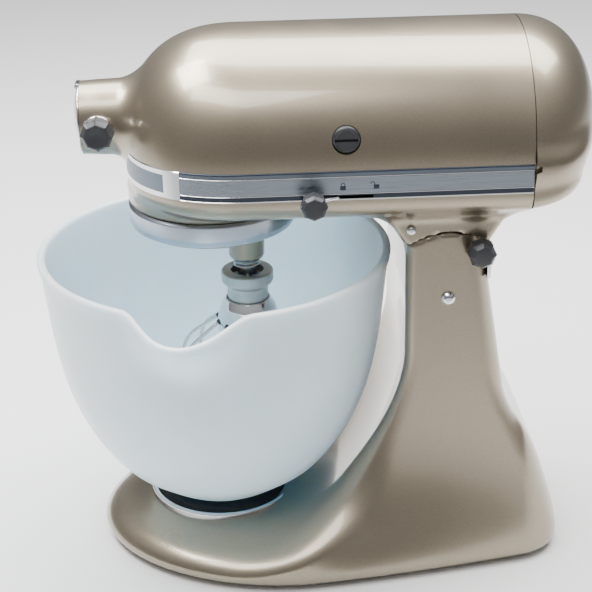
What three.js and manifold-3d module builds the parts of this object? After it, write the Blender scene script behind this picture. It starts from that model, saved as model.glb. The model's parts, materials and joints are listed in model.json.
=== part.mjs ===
// A tilt-head stand mixer with a glass bowl and a wire whisk, in millimetres, +Z up.
// X runs along the machine (front and attachment hub towards -X), Y across it, and Z = 0 is the table.
// Shapes are written about the bowl's axis; the last lines move them so that the origin is the middle
// of the footprint.
import * as THREE from "three";
import { mergeVertices } from "three/addons/utils/BufferGeometryUtils.js";
import Module from "manifold-3d";

const wasm = await Module();
wasm.setup();

// ---------------------------------------------------------------- driving dimensions
const GAP = 0.3; // between touching pieces
const BOWL_AXIS_X = -63.8; // of the bowl's axis in the part's own frame

const HEAD_HALF = 73; // half the head's width, and the radius of its round top
const SHOULDER_Z = 281; // where the head's sides turn into the round top
const SPLIT_Z = 273; // parting of the upper and the lower casting
const KEEL_Z = 248; // underside of the head
const KEEL_ROUND = 16;
const NOSE_X = 21; // where the head starts to close towards the front
const SIDE_POWER = 2.3; // how bluntly the sides close, and the round top
const TOP_POWER = 2.45;
const SEAM_X = 194; // parting of the rear cover
const REAR_X = 243; // rearmost point of the head
const WALL = 4;

const HUB = { z: 298, radius: 23.2, front: -79.6, bore: 17 };
const MOTOR_Z = 300;
const PIN = { x: 146.3, z: 189.1, radius: 4.4 }; // the head tilts about this pin
const PARTING_R = 44; // radius of the column's top about the pin
const NECK_HALF = 57.5;
const LUG_HALF = 20; // half width of the lug that the pin passes through

const BASE = { front: -84.5, rear: 232.5, half: 99.5, widest: 48, rearHalf: 72.5, top: 29, round: 24 };
const COLUMN = { front: 120, half: 56, sweepTop: 150, sweepReach: 66, rearAt: 188, flareTop: 108 };
const BOTTOM_Z = 2.5; // lower rim of the base casting

const SPOUT = { angle: -99.5, half: 21.5, reach: 30, dip: 6, top: 209, start: 150 };
const HANDLE_ANGLE = 80.5;

const ADJUSTER = { x: 129, y: -31, z: 222, radius: 4 }; // the screw that the lowered head rests on
const REAR_PLATE = { x: 171, y: -50, half: 5.5, z0: 201, z1: 223.5 };
const REAR_KNOB = { x: 165, y: -59.3, z: 223, radius: 9 };

const MODULE = 2; // of the spur gears
const RING_TEETH = 33;
const PLANET_TEETH = 12;
const OFFSET = (MODULE * (RING_TEETH - PLANET_TEETH)) / 2; // of the beater shaft from the bowl's axis
const CENTRE_TEETH = 30;
const PINION_TEETH = 11;
const WHEEL_TEETH = 24;
const WHEEL_R = 21;
const WHEEL = { x: 30, y: 28 }; // axis of the worm wheel
const WHEEL_BEARING = Math.atan2(WHEEL.y, WHEEL.x);

// ---------------------------------------------------------------- colours
const look = (color, roughness, metalness) => new THREE.MeshStandardMaterial({ color, roughness, metalness });
const LOOKS = {
  paint: () => look(0xb5a897, 0.25, 0.7),
  glass: () => look(0xdfe8ee, 0.35, 0),
  chrome: () => look(0xd8dadc, 0.08, 1),
  steel: () => look(0xa9adb2, 0.3, 1),
  castGrey: () => look(0x9a9a9a, 0.4, 0.9),
  black: () => look(0x3a3d40, 0.45, 0),
  rubber: () => look(0x222222, 0.8, 0),
  band: () => look(0x8f99a6, 0.3, 0.9),
  brass: () => look(0xb08d4f, 0.35, 1),
  copper: () => look(0xa8623a, 0.35, 1),
  carbon: () => look(0x2b2b2b, 0.7, 0.1),
  board: () => look(0x2f5d3a, 0.6, 0),
};

// ---------------------------------------------------------------- helpers
const { sin, cos, PI, sqrt, min, max, abs } = Math;
const radians = (degrees) => (degrees * PI) / 180;
const clamp01 = (t) => min(1, max(0, t));
const smooth = (t) => clamp01(t) ** 2 * (3 - 2 * clamp01(t));
const range = (n, make) => Array.from({ length: n }, (_, i) => make(i));
const V = (x, y, z) => new THREE.Vector3(x, y, z);

// A closed BufferGeometry as a manifold-3d solid, and back.
function solidOf(geometry) {
  const bare = geometry.clone();
  bare.deleteAttribute("normal");
  bare.deleteAttribute("uv");
  const merged = mergeVertices(bare, 1e-3);
  return new wasm.Manifold(
    new wasm.Mesh({
      numProp: 3,
      vertProperties: new Float32Array(merged.attributes.position.array),
      triVerts: new Uint32Array(merged.index.array),
    }),
  );
}

function geometryOf(solid) {
  const mesh = solid.getMesh();
  const geometry = new THREE.BufferGeometry();
  geometry.setAttribute("position", new THREE.BufferAttribute(mesh.vertProperties, 3));
  geometry.setIndex(new THREE.BufferAttribute(mesh.triVerts, 1));
  geometry.computeVertexNormals();
  return geometry;
}

const join = (...shapes) => geometryOf(shapes.map(solidOf).reduce((a, b) => a.add(b)));
const cut = (shape, ...tools) =>
  geometryOf(tools.map(solidOf).reduce((a, b) => a.subtract(b), solidOf(shape)));
const common = (a, b) => geometryOf(solidOf(a).intersect(solidOf(b)));

// Turns a shape made about +Z so that it lies about the named axis, and moves it to a place.
function along(geometry, axis, at = [0, 0, 0]) {
  if (axis === "x") geometry.rotateY(PI / 2);
  if (axis === "-x") geometry.rotateY(-PI / 2);
  if (axis === "y") geometry.rotateX(-PI / 2);
  if (axis === "-y") geometry.rotateX(PI / 2);
  return geometry.translate(...at);
}

// A solid of revolution from [radius, height] points, anticlockwise, about the named axis.
function turned(points, axis = "z", at = [0, 0, 0], segments = 24) {
  const closed = points[0][0] > 0 || points[points.length - 1][0] > 0;
  const outline = closed ? [...points, points[0]] : points;
  const lathe = new THREE.LatheGeometry(outline.map(([r, h]) => new THREE.Vector2(r, h)), segments);
  return along(lathe.rotateX(PI / 2), axis, at);
}

const rod = (radius, from, to, axis, at, segments = 16) =>
  turned([[0, from], [radius, from], [radius, to], [0, to]], axis, at, segments);

const tubeRing = (inner, outer, from, to, axis, at, segments = 20) =>
  turned([[inner, from], [outer, from], [outer, to], [inner, to]], axis, at, segments);

const block = (x0, x1, y0, y1, z0, z1) =>
  new THREE.BoxGeometry(x1 - x0, y1 - y0, z1 - z0).translate((x0 + x1) / 2, (y0 + y1) / 2, (z0 + z1) / 2);

// A solid skin over rings with the same number of points, closed by a fan at each end.
function loft(rings) {
  const count = rings[0].length;
  const centre = (ring) => ring.reduce((sum, p) => sum.add(p), V(0, 0, 0)).divideScalar(count);
  const points = [...rings.flat(), centre(rings[0]), centre(rings[rings.length - 1])];
  const [first, last] = [points.length - 2, points.length - 1];
  const top = (rings.length - 1) * count;
  const faces = [];
  range(count, (i) => {
    const j = (i + 1) % count;
    faces.push(first, j, i, last, top + i, top + j);
    range(rings.length - 1, (k) => {
      const [a, b, c, d] = [k * count + i, k * count + j, (k + 1) * count + j, (k + 1) * count + i];
      faces.push(a, b, c, a, c, d);
    });
  });
  const geometry = new THREE.BufferGeometry().setFromPoints(points);
  return geometry.setIndex(faces);
}

// A bar of one outline, drawn in the XZ plane, that runs across the machine from y0 to y1.
function across(outline, y0, y1) {
  const shape = new THREE.Shape(outline.map(([x, z]) => new THREE.Vector2(x, z)));
  const bar = new THREE.ExtrudeGeometry(shape, { depth: y1 - y0, bevelEnabled: false });
  return bar.rotateX(PI / 2).translate(0, y1, 0);
}

// A plate of one outline, drawn in the XY plane, from z0 up to z1.
function upright(outline, z0, z1) {
  const shape = new THREE.Shape(outline.map(([x, y]) => new THREE.Vector2(x, y)));
  return new THREE.ExtrudeGeometry(shape, { depth: z1 - z0, bevelEnabled: false }).translate(0, 0, z0);
}

// A round wire along a smooth curve through the points.
function wire(points, radius, steps, sides = 6) {
  const step = (2 * PI) / sides;
  const section = new THREE.Shape(
    range(sides, (i) => new THREE.Vector2(radius * cos(step * i), radius * sin(step * i))),
  );
  const path = new THREE.CatmullRomCurve3(points);
  return new THREE.ExtrudeGeometry(section, { extrudePath: path, steps, bevelEnabled: false });
}

// The outline of a spur gear: straight-sided teeth that leave room for the mating gear.
function gearOutline(teeth, module, phase = 0, inside = false) {
  const pitch = (module * teeth) / 2;
  const outward = inside ? -1 : 1;
  const tip = pitch + outward * 0.8 * module;
  const root = pitch - outward * module;
  const shares = [[root, -0.3], [tip, -0.1], [tip, 0.1], [root, 0.3]];
  return range(teeth, (i) => shares.map(([r, share]) => [r, ((i + share + phase) * 2 * PI) / teeth]))
    .flat()
    .map(([r, a]) => [r * cos(a), r * sin(a)]);
}

// A moulded knob about +Z: a ribbed or faceted grip with a domed face and a stem.
function knob(radius, length, facets, stemRadius, stemLength) {
  const neck = radius * 0.8;
  const face = radius * 0.72;
  const [low, high] = [length * 0.25, length * 0.7];
  const outline = [[0, 0], [neck, 0], [radius, low], [radius, high], [face, length], [0, length]];
  return join(
    turned(outline, "z", [0, 0, 0], facets),
    rod(stemRadius, -stemLength, length / 2, "z", [0, 0, 0], 16),
  );
}

const mixer = new THREE.Group();
function add(name, geometry, material) {
  const mesh = new THREE.Mesh(geometry, material);
  mesh.name = name;
  mixer.add(mesh);
}

// ---------------------------------------------------------------- base casting
// Half the width of the base at its widest level, along X.
function baseHalf(x) {
  const { front, half, widest, rearHalf, rear } = BASE;
  if (x < widest) return half * sqrt(max(0, 1 - ((widest - x) / (widest - front)) ** 2));
  const taper = half - (half - rearHalf) * ((x - widest) / (rear - 13.5 - widest)) ** 1.35;
  const corner = clamp01((x - (rear - 32.5)) / 32.5);
  return taper * (1 - corner ** 5) ** 0.2;
}

// Points round a closed outline that is symmetric about Y = 0, from half widths along X.
function outlineRing(stations, z) {
  const near = stations.map(([x, half]) => V(x, -half, z));
  const far = stations.slice(1, -1).reverse().map(([x, half]) => V(x, half, z));
  return [...near, ...far];
}

// The low slab under the bowl, with a bull-nosed edge.
function baseSlab(shrink, bottom, top) {
  const levels = [
    [bottom, 8], [bottom + 2.2, 3.6], [bottom + 4.8, 1], [10.5, 0], [13, 0.9], [17, 4.2], [20, 10], [23, 20],
    [26, 31], [top, 46],
  ];
  const count = 17;
  return loft(
    levels.map(([z, inset]) => {
      const front = BASE.front + inset + shrink;
      const rear = BASE.rear - inset * 0.5 - shrink;
      const stations = range(count, (i) => {
        const t = (1 - cos((PI * i) / (count - 1))) / 2;
        const x = front + (rear - front) * t;
        const source = BASE.front + (BASE.rear - BASE.front) * t;
        return [x, max(0, baseHalf(source) - (inset + shrink) * min(1, 4 * t * (1 - t) * 4))];
      });
      return outlineRing(stations, min(z, top));
    }),
  );
}

// Front and rear edge of the column at a height, and how far it still spreads towards the base.
const columnFront = (z) => COLUMN.front - COLUMN.sweepReach * clamp01((COLUMN.sweepTop - z) / 120) ** 1.75;
const dish = (z) => 5 * clamp01((190 - z) / 60); // how far the front face is hollowed to clear the bowl
function columnRear(z) {
  const { rearAt, flareTop } = COLUMN;
  if (z >= flareTop) return rearAt - 0.158 * (z - flareTop);
  return BASE.rear - (BASE.rear - rearAt) * clamp01((z - 10) / (flareTop - 10)) ** 1.6;
}
const spread = (z) => 1 / (1 + (max(0, z) / 50) ** 2.2);
const frontCorner = (z) => 8 + 24 * spread(z);

// The column, as level outlines from inside the slab up to its top.
function columnSolid(shrink, levels) {
  const corner = range(4, (i) => radians(i * 30));
  return loft(
    levels.map((z) => {
      const [front, rear] = [columnFront(z) + shrink, columnRear(z) - shrink];
      const half = (x) => COLUMN.half + (baseHalf(min(x, 200)) - COLUMN.half) * spread(z) - shrink;
      const [r0, r1] = [max(2, frontCorner(z) - shrink), max(2, 14 - shrink)];
      const straight = range(3, (i) => front + r0 + ((rear - r1 - front - r0) * (i + 1)) / 4);
      const stations = [
        [front + dish(z), 0],
        [front + dish(z) * 0.7, half(front + r0) * 0.4],
        ...corner.map((a) => [front + r0 * (1 - cos(a)), half(front + r0) - r0 * (1 - sin(a))]),
        ...straight.map((x) => [x, half(x)]),
        ...corner.map((a) => [rear - r1 * (1 - sin(a)), half(rear - r1) - r1 * (1 - cos(a))]),
        [rear, 0],
      ];
      return outlineRing(stations, z);
    }),
  );
}

const CLAMP_R = 50.7; // radius of the plate that the bowl twists into
const CLAMP_SCREWS = range(3, (i) => [36 * cos(radians(120 * i + 60)), 36 * sin(radians(120 * i + 60))]);
const REAR_FOOT = { x: 205, y: 50 };
const SIDE_FOOT = { x: 20, y: 72 };
const FEET = [
  ["front", -58, 0],
  ["left", SIDE_FOOT.x, SIDE_FOOT.y],
  ["right", SIDE_FOOT.x, -SIDE_FOOT.y],
  ["rear_left", REAR_FOOT.x, REAR_FOOT.y],
  ["rear_right", REAR_FOOT.x, -REAR_FOOT.y],
];

function pedestal() {
  const outside = join(
    baseSlab(0, BOTTOM_Z, BASE.top),
    columnSolid(0, [14, 22, 29, 35, 43, 53, 65, 80, 95, 107.9, 108.1, 125, 150, 190, 240]),
  );
  const hollow = join(
    baseSlab(WALL, BOTTOM_Z - 3, BASE.top - 15),
    columnSolid(WALL + 2, [-0.5, 22, 43, 75, 108, 150, 175]),
    block(columnFront(200) + 8, columnRear(200) - 8, -46, 46, 160, 212),
  );
  const roundTop = rod(PARTING_R, -95, 95, "y", [PIN.x, 0, PIN.z], 40);
  const aboveTop = cut(block(90, 210, -90, 90, PIN.z, 270), roundTop);
  const bosses = FEET.map(([, x, y]) => rod(11, 7, 20, "z", [x, y, 0], 16));
  const rib = block(202, 208, -70.5, 70.5, 9, 26);
  const recess = rod(CLAMP_R + 0.4, BASE.top - 7, BASE.top + 4, "z", [0, 0, 0], 36);
  const lugSlot = block(PIN.x - 19.7, 200, -LUG_HALF - 0.8, LUG_HALF + 0.8, PIN.z - 4, 260);
  const pinHole = rod(PIN.radius + GAP, -90, 90, "y", [PIN.x, 0, PIN.z], 20);
  const shell = cut(outside, hollow, aboveTop, recess, lugSlot, pinHole);
  const screwHoles = CLAMP_SCREWS.map(([x, y]) => rod(2.4, 10, 30, "z", [x, y, 0], 12));
  const adjuster = rod(ADJUSTER.radius + GAP, ADJUSTER.z - 12, 260, "z", [ADJUSTER.x, ADJUSTER.y, 0], 16);
  const { x, y, half, z0 } = REAR_PLATE;
  const plateSeat = block(x - GAP, 200, y - half - 20, y + half + GAP, z0 - GAP, 260);
  const knobHole = rod(3 + GAP, -90, -50, "y", [REAR_KNOB.x, 0, REAR_KNOB.z], 16);
  return cut(join(shell, rib, ...bosses), ...screwHoles, adjuster, plateSeat, knobHole);
}

function foot([, x, y]) {
  return turned([[0, 0], [10.5, 0], [12, 1.5], [11, 6.7], [0, 6.7]], "z", [x, y, 0], 20);
}

// The steel plate that the bowl twists into: a shallow cup with a rolled rim.
function clampPlate() {
  const z = BASE.top - 6.7;
  const floor = z + 3;
  const [rim, mouth] = [32, 47.2];
  const outline = [
    [0, z], [CLAMP_R, z], [CLAMP_R, rim - 1], [CLAMP_R - 1.1, rim], [mouth + 0.8, rim], [mouth, rim - 1],
    [mouth, floor], [0, floor],
  ];
  const cup = turned(outline, "z", [0, 0, 0], 36);
  const sinks = CLAMP_SCREWS.map(([x, y]) =>
    turned([[0, 10], [2.3, 10], [2.3, 23.1], [4.4, 23.6], [4.4, 30], [0, 30]], "z", [x, y, 0], 14));
  return cut(cup, ...sinks);
}

const clampScrew = ([x, y]) =>
  turned([[0, 12], [2, 12], [2, 23.4], [4.1, 23.9], [4.1, 25.2], [0, 25.2]], "z", [x, y, 0], 14);

// The slotted screw in the column's top that sets how low the head comes down.
function heightScrew() {
  const { x, y, z, radius } = ADJUSTER;
  const body = rod(radius, z - 9, z - 2, "z", [x, y, 0], 16);
  return cut(body, block(x - 5, x + 5, y - 0.7, y + 0.7, z - 3.4, z + 1));
}

const rearKnob = () =>
  along(knob(REAR_KNOB.radius, 13, 8, 3, 5), "-y", [REAR_KNOB.x, REAR_KNOB.y - 0.3, REAR_KNOB.z]);

const COVER_SCREW_Z = 296;
const coverScrew = () => {
  const outline = [[0, -9], [2.2, -9], [2.2, 0], [4.2, 0], [4, 1.2], [0, 1.6]];
  return turned(outline, "x", [REAR_X - 1.1, 0, COVER_SCREW_Z], 16);
};

// A screw or pin across the machine with a domed head on the -Y side.
function crossPin(x, z, headY, tipY, headRadius, shankRadius) {
  const dome = range(5, (i) => {
    const a = radians(90 - 22.5 * i);
    return [max(0, headRadius * cos(a)), -headRadius * 0.45 * sin(a)];
  });
  return join(
    turned([...dome, [headRadius, 0.8], [0, 0.8]], "y", [x, headY, z], 20),
    rod(shankRadius, headY + 0.4, tipY, "y", [x, 0, z], 20),
  );
}

// ---------------------------------------------------------------- head castings
// How far the head's section is closed at X towards the nose or the tail: 1 along the straight body.
function closing(x, noseReach, tailReach, power) {
  if (x < NOSE_X) return (1 - min(1, (NOSE_X - x) / noseReach) ** power) ** (1 / power);
  if (x > SEAM_X && tailReach) return (1 - min(1, (x - SEAM_X) / tailReach) ** power) ** (1 / power);
  return 1;
}
const noseReach = (shrink) => NOSE_X + 53 - shrink;
const noseStations = (shrink) =>
  range(8, (i) => NOSE_X - noseReach(shrink) * cos(radians(9 + (81 * i) / 7)));

// The round-topped upper part of the head, from its parting up.
function upperBody(shrink, end) {
  const arch = range(15, (i) => radians((i * 180) / 14));
  return loft(
    [...noseStations(shrink), 80, 140, end].map((x) => {
      const half = (HEAD_HALF - shrink) * closing(x, noseReach(shrink), 0, SIDE_POWER);
      const rise = (HEAD_HALF - shrink) * closing(x, noseReach(shrink), 0, TOP_POWER);
      const top = arch.map((a) => V(x, -half * cos(a), SHOULDER_Z + rise * sin(a)));
      return [V(x, -half, SPLIT_Z + 0.15), ...top, V(x, half, SPLIT_Z + 0.15)].reverse();
    }),
  );
}

// The lower part of the head, from its parting down to the rounded keel.
function lowerBody(shrink, end) {
  const round = KEEL_ROUND - shrink / 2;
  const keel = KEEL_Z + shrink;
  const curve = range(6, (i) => radians(i * 18));
  return loft(
    [...noseStations(shrink), 80, 140, end].map((x) => {
      const half = (HEAD_HALF - shrink) * closing(x, noseReach(shrink), 0, SIDE_POWER);
      const r = min(round, half * 0.8);
      const side = curve.map((a) => [half - r * (1 - cos(a)), keel + round * (1 - sin(a))]);
      return [
        ...side.map(([y, z]) => V(x, -y, z)),
        ...side.reverse().map(([y, z]) => V(x, y, z)),
        V(x, half, SPLIT_Z - 0.15),
        V(x, -half, SPLIT_Z - 0.15),
      ];
    }),
  );
}

const BAND = { top: 282.3, bottom: 263.9, thick: 1.3 };
// The plan outline of the head's sides and front, for the trim band and its groove.
function bandOutline(grow) {
  const half = HEAD_HALF + grow;
  const front = noseStations(-grow).map((x) => [x, half * closing(x, noseReach(-grow), 0, SIDE_POWER)]);
  const edge = [...front.slice(0, -1), [NOSE_X, half], [SEAM_X + 4, half]];
  const nose = [NOSE_X - noseReach(-grow), 0];
  return [nose, ...edge.map(([x, y]) => [x, -y]), ...edge.reverse()];
}

const bandStrip = (outer, inner, z0, z1) =>
  cut(
    upright(bandOutline(outer), z0, z1),
    upright(bandOutline(inner), z0 - 1, z1 + 1),
    block(SEAM_X - GAP, 240, -99, 99, 200, 300),
  );

const SLOT = { x0: 52, x1: 97, z0: 264.8, z1: 267 }; // of the lock and speed levers, on both sides

const leverSlots = () => block(SLOT.x0, SLOT.x1, -90, 90, SLOT.z0, SLOT.z1);

const BRUSH = { x: 80.9, z: 300.5, capRadius: 8.2 };
const brushHoles = () => rod(BRUSH.capRadius + GAP, -90, 90, "y", [BRUSH.x, 0, BRUSH.z], 24);

function motorHousing() {
  const r = HUB.radius;
  const barrel = [[0, -2], [r, -2], [r + 0.6, 10], [r + 1, 26], [r + 1.2, 34], [0, 34]];
  const hub = turned(barrel, "x", [HUB.front + 2, 0, HUB.z], 28);
  const shell = cut(join(upperBody(0, SEAM_X), hub), upperBody(WALL, SEAM_X + 9));
  const bore = rod(HUB.bore, -20, 30, "x", [HUB.front, 0, HUB.z], 32);
  const shaftHole = rod(9, 20, 60, "x", [HUB.front, 0, HUB.z], 24);
  const knobHole = rod(3.5 + GAP, -60, 0, "y", [ATTACH_KNOB.x, 0, HUB.z], 16);
  const groove = bandStrip(4, -BAND.thick - GAP, SPLIT_Z - 5, BAND.top + GAP);
  return cut(shell, bore, shaftHole, knobHole, groove, brushHoles(), capHingeSlot());
}

const ATTACH_KNOB = { x: -68.2, y: -26, radius: 10.6 };
const CAP_HINGE = { x: HUB.front - 1.2, z: HUB.z + HUB.radius - 2 };
const capHingeSlot = () => block(HUB.front - 5, HUB.front + 3, -5.5, 5.5, CAP_HINGE.z - 2.6, CAP_HINGE.z + 12);

const BOSS_R = 55;
const SKIRT = { inner: 45, outer: 50.4, bottom: 229.5 }; // holds the ring gear and the drip ring
const NECK_GAP = 0.6;

// The neck under the head: it dips to the column's top and carries the lug on the hinge pin.
function neck() {
  const foreAft = [
    [96, 262], [96, KEEL_Z - 1], [104, 245], [112, 237], [119.4, 227], [146, 214],
    [170.6, 227], [179, 240], [189, KEEL_Z - 0.5], [192, 262],
  ];
  const body = across(foreAft, -NECK_HALF, NECK_HALF);
  const round = rod(PARTING_R + NECK_GAP, -90, 90, "y", [PIN.x, 0, PIN.z], 40);
  const web = across([[133, 189], [127, 236], [168, 236], [160, 189]], -LUG_HALF, LUG_HALF);
  const lug = rod(14, -LUG_HALF, LUG_HALF, "y", [PIN.x, 0, PIN.z], 32);
  return join(cut(body, round), web, lug);
}

function gearboxHousing() {
  const bossOutline = [[0, 243], [BOSS_R - 3, 243], [BOSS_R, 246], [BOSS_R, 258], [0, 258]];
  const boss = turned(bossOutline, "z", [0, 0, 0], 36);
  const skirt = rod(SKIRT.outer, SKIRT.bottom, 256, "z", [0, 0, 0], 36);
  const solid = join(lowerBody(0, SEAM_X), boss, skirt, neck());
  const pocket = rod(SKIRT.inner, SKIRT.bottom - 5, 241, "z", [0, 0, 0], 36);
  const shaftBore = rod(9, 220, 262, "z", [0, 0, 0], 24);
  const aboveFloor = block(-60, 230, -90, 90, KEEL_Z + WALL, 290);
  const inside = common(lowerBody(WALL, SEAM_X + 9), aboveFloor);
  const wheelSeat = rod(5 + GAP, 250, 262, "z", [WHEEL.x, WHEEL.y, 0], 20);
  const pin = rod(PIN.radius + GAP, -90, 90, "y", [PIN.x, 0, PIN.z], 20);
  const groove = bandStrip(4, -BAND.thick - GAP, BAND.bottom - GAP, SPLIT_Z + 5);
  const earHole = rod(1.6 + GAP, -90, -40, "y", [EAR_SCREW.x, 0, EAR_SCREW.z], 12);
  return cut(solid, inside, pocket, shaftBore, wheelSeat, pin, groove, leverSlots(), earHole);
}

const EAR_SCREW = { x: 122, z: 236.5 };

// The rear cover: a domed top over straight sides, hollow and open at the seam.
function coverBody(shrink, start) {
  const reach = REAR_X - SEAM_X - shrink;
  const stations = range(9, (i) => SEAM_X + reach * sin(radians((i * 83) / 8)));
  stations[0] = start;
  const arch = range(13, (i) => radians((i * 180) / 12));
  return loft(
    stations.map((x) => {
      const close = closing(x, 1, reach, 2.1);
      const skirtClose = closing(x, 1, reach - 1, 3.4);
      const half = (HEAD_HALF - shrink) * close;
      const low = (HEAD_HALF - shrink) * min(close * 1.12, skirtClose);
      const deep = (1 - close) ** 1.6;
      const keel = KEEL_Z + shrink + 3 + 22 * deep;
      const mid = SHOULDER_Z + 7 * (1 - close);
      const ring = arch.map((a) => V(x, half * cos(a), mid + (HEAD_HALF - shrink) * close * sin(a)));
      return [
        V(x, low * 0.86, keel),
        V(x, low, keel + min(9, (mid - keel) / 2)),
        ...ring,
        V(x, -low, keel + min(9, (mid - keel) / 2)),
        V(x, -low * 0.86, keel),
      ];
    }),
  );
}

function rearCover() {
  const screwHole = join(
    rod(2.2 + GAP, SEAM_X, REAR_X + 10, "x", [0, 0, COVER_SCREW_Z], 12),
    rod(4.6, REAR_X - 1.4, REAR_X + 10, "x", [0, 0, COVER_SCREW_Z], 16),
  );
  const vents = range(4, (i) => block(206 + 6 * i, 208.5 + 6 * i, -26, 26, KEEL_Z - 5, KEEL_Z + 14));
  return cut(coverBody(0, SEAM_X + GAP), coverBody(WALL, SEAM_X - 5), screwHole, ...vents);
}

const trimBand = () => cut(bandStrip(0.6, -BAND.thick, BAND.bottom, BAND.top), leverSlots());

function dripRing() {
  const inner = SKIRT.outer + GAP;
  const outline = [
    [inner, 228.4], [inner + 1, 227.6], [BOSS_R - 3, 227.6], [BOSS_R - 1, 230],
    [BOSS_R - 0.8, 241], [BOSS_R - 2, 242.6], [inner, 242.6],
  ];
  return turned(outline, "z", [0, 0, 0], 40);
}

// ---------------------------------------------------------------- hub and knobs
function hubCover() {
  const r = HUB.radius - 1.5;
  const outline = [[0, -4.2], [r - 8, -3.5], [r - 2, -1.9], [r, -1], [r, 0], [0, 0]];
  const disc = turned(outline, "x", [HUB.front - GAP, 0, HUB.z], 36);
  const barrel = rod(1.9, -5, 5, "y", [CAP_HINGE.x, 0, CAP_HINGE.z], 12);
  return join(disc, barrel);
}

const attachmentKnob = () =>
  along(knob(ATTACH_KNOB.radius, 14, 8, 3.5, 8), "-y", [ATTACH_KNOB.x, ATTACH_KNOB.y - 2.5, HUB.z]);

const attachmentSocket = () =>
  cut(
    join(
      rod(8, 21, 44, "x", [HUB.front, 0, HUB.z], 24),
      rod(12, 6, 22, "x", [HUB.front, 0, HUB.z], 24),
    ),
    block(HUB.front - 1, HUB.front + 18, -4.2, 4.2, HUB.z - 4.2, HUB.z + 4.2),
  );

// A lever blade that comes out of a slot in the head's side to carry a knob. The lock lever's blade is wide
// where it leaves the slot, and narrows to the knob.
const LEVER_X = 60.2;
function leverBlade(side) {
  const x = LEVER_X;
  const root = side < 0 ? 16 : 6;
  const outline = [
    [x - 6, 58], [x + root, 58], [x + root, 74.6], [x + 5, 80], [x + 3, 82], [x - 3, 82], [x - 6, 79],
  ];
  const placed = side < 0 ? outline.map(([a, b]) => [a, -b]) : outline;
  return upright(placed, SLOT.z0 + 0.4, SLOT.z1 - 0.4);
}

function leverKnob(side) {
  const grip = along(knob(8.2, 12, 8, 2.5, 0), side < 0 ? "-y" : "y", [LEVER_X, side * 80, 265.4]);
  const [near, far] = side < 0 ? [-83, -60] : [60, 83];
  const blade = block(LEVER_X - 6.4, LEVER_X + 6.4, near, far, SLOT.z0, SLOT.z1);
  return cut(grip, blade);
}

function brushCap(side) {
  const face = side * 71.4;
  const r = BRUSH.capRadius;
  const outline = [[0, -17], [6, -17], [6, -3], [r, -3], [r, -0.6], [r - 0.8, 0], [0, 0]];
  const screwSlot = block(BRUSH.x - 9, BRUSH.x + 9, face - 1.3, face + 1.3, BRUSH.z - 1, BRUSH.z + 1);
  return cut(along(turned(outline), side < 0 ? "-y" : "y", [BRUSH.x, face, BRUSH.z]), screwSlot);
}

const brush = (side) => {
  const [a, b] = [side * 13.2, side * 53.8];
  return block(BRUSH.x - 3.5, BRUSH.x + 3.5, min(a, b), max(a, b), BRUSH.z - 3.5, BRUSH.z + 3.5);
};

// ---------------------------------------------------------------- motor and gears
const motorShaft = () => {
  const shaft = rod(4, 10, 190, "x", [0, 0, MOTOR_Z], 16);
  const lead = (2 * PI * WHEEL_R) / WHEEL_TEETH;
  const steps = 26;
  const thread = loft(
    range(steps + 1, (i) =>
      range(12, (k) => {
        const x = WHEEL.x - 14 + (28 * i) / steps;
        const phase = (x - WHEEL.x) / lead + k / 12 + 0.5;
        const r = 4.8 + 1.3 * max(0, 1 - 3.2 * abs(phase - Math.round(phase)));
        return V(x, r * cos((2 * PI * k) / 12), MOTOR_Z + r * sin((2 * PI * k) / 12));
      }),
    ),
  );
  return join(shaft, thread);
};

const armature = () => {
  const outline = [[4.3, 74], [12.5, 74], [12.5, 90], [20, 93], [26, 96], [26, 136], [20, 140], [4.3, 142]];
  return turned(outline, "x", [0, 0, MOTOR_Z], 28);
};

const stator = () =>
  common(
    tubeRing(28, 44, 94, 138, "x", [0, 0, MOTOR_Z], 40),
    block(90, 140, -40, 40, MOTOR_Z - 36, MOTOR_Z + 36),
  );

function coolingFan() {
  const hub = tubeRing(4.3, 10, 152, 162, "x", [0, 0, MOTOR_Z], 20);
  const blades = range(7, (i) =>
    block(153, 161, 8, 32, -0.9, 0.9).rotateX((2 * PI * i) / 7).translate(0, 0, MOTOR_Z));
  const disc = tubeRing(8, 32, 160, 162, "x", [0, 0, MOTOR_Z], 32);
  return join(hub, disc, ...blades);
}

const bearing = (x) => tubeRing(4.3, 11, x, x + 8, "x", [0, 0, MOTOR_Z], 20);
const bearingBracket = (x) =>
  cut(
    block(x, x + 8, -24, 24, MOTOR_Z - 26, MOTOR_Z + 26),
    rod(11.3, x - 1, x + 9, "x", [0, 0, MOTOR_Z], 24),
  );

const controlBoard = () => block(203, 205, -32, 32, 262, 318);

function wormWheel() {
  const wheel = upright(gearOutline(WHEEL_TEETH, (2 * WHEEL_R) / WHEEL_TEETH), MOTOR_Z - 4, MOTOR_Z + 4);
  const pinion = upright(gearOutline(PINION_TEETH, MODULE, 0.5), 262, 271).rotateZ(WHEEL_BEARING + PI);
  const spindle = rod(5, 253, MOTOR_Z + 12, "z", [0, 0, 0], 16);
  return join(wheel, spindle, pinion).translate(WHEEL.x, WHEEL.y, 0);
}

// The upright shaft over the bowl, with its spur gear and the crown gear that turns the attachment drive.
function centreShaft() {
  return join(
    rod(SHAFT_R, 224.5, 284, "z", [0, 0, 0], 24),
    upright(gearOutline(CENTRE_TEETH, MODULE), 262.5, 270.5).rotateZ(WHEEL_BEARING),
    turned([[0, 270], [25, 270], [25, 275], [20, 278], [0, 278]], "z", [0, 0, 0], 24),
  );
}

const hubPinion = () =>
  turned([[8.3, -4], [13, -4], [18, 3], [18, 6], [8.3, 6]], "x", [-39, 0, HUB.z], 20);

const ringGear = () =>
  cut(
    rod(SKIRT.inner - GAP, 231, 239.4, "z", [0, 0, 0], 36),
    upright(gearOutline(RING_TEETH, MODULE, 0.5, true), 230, 241),
  );

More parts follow.
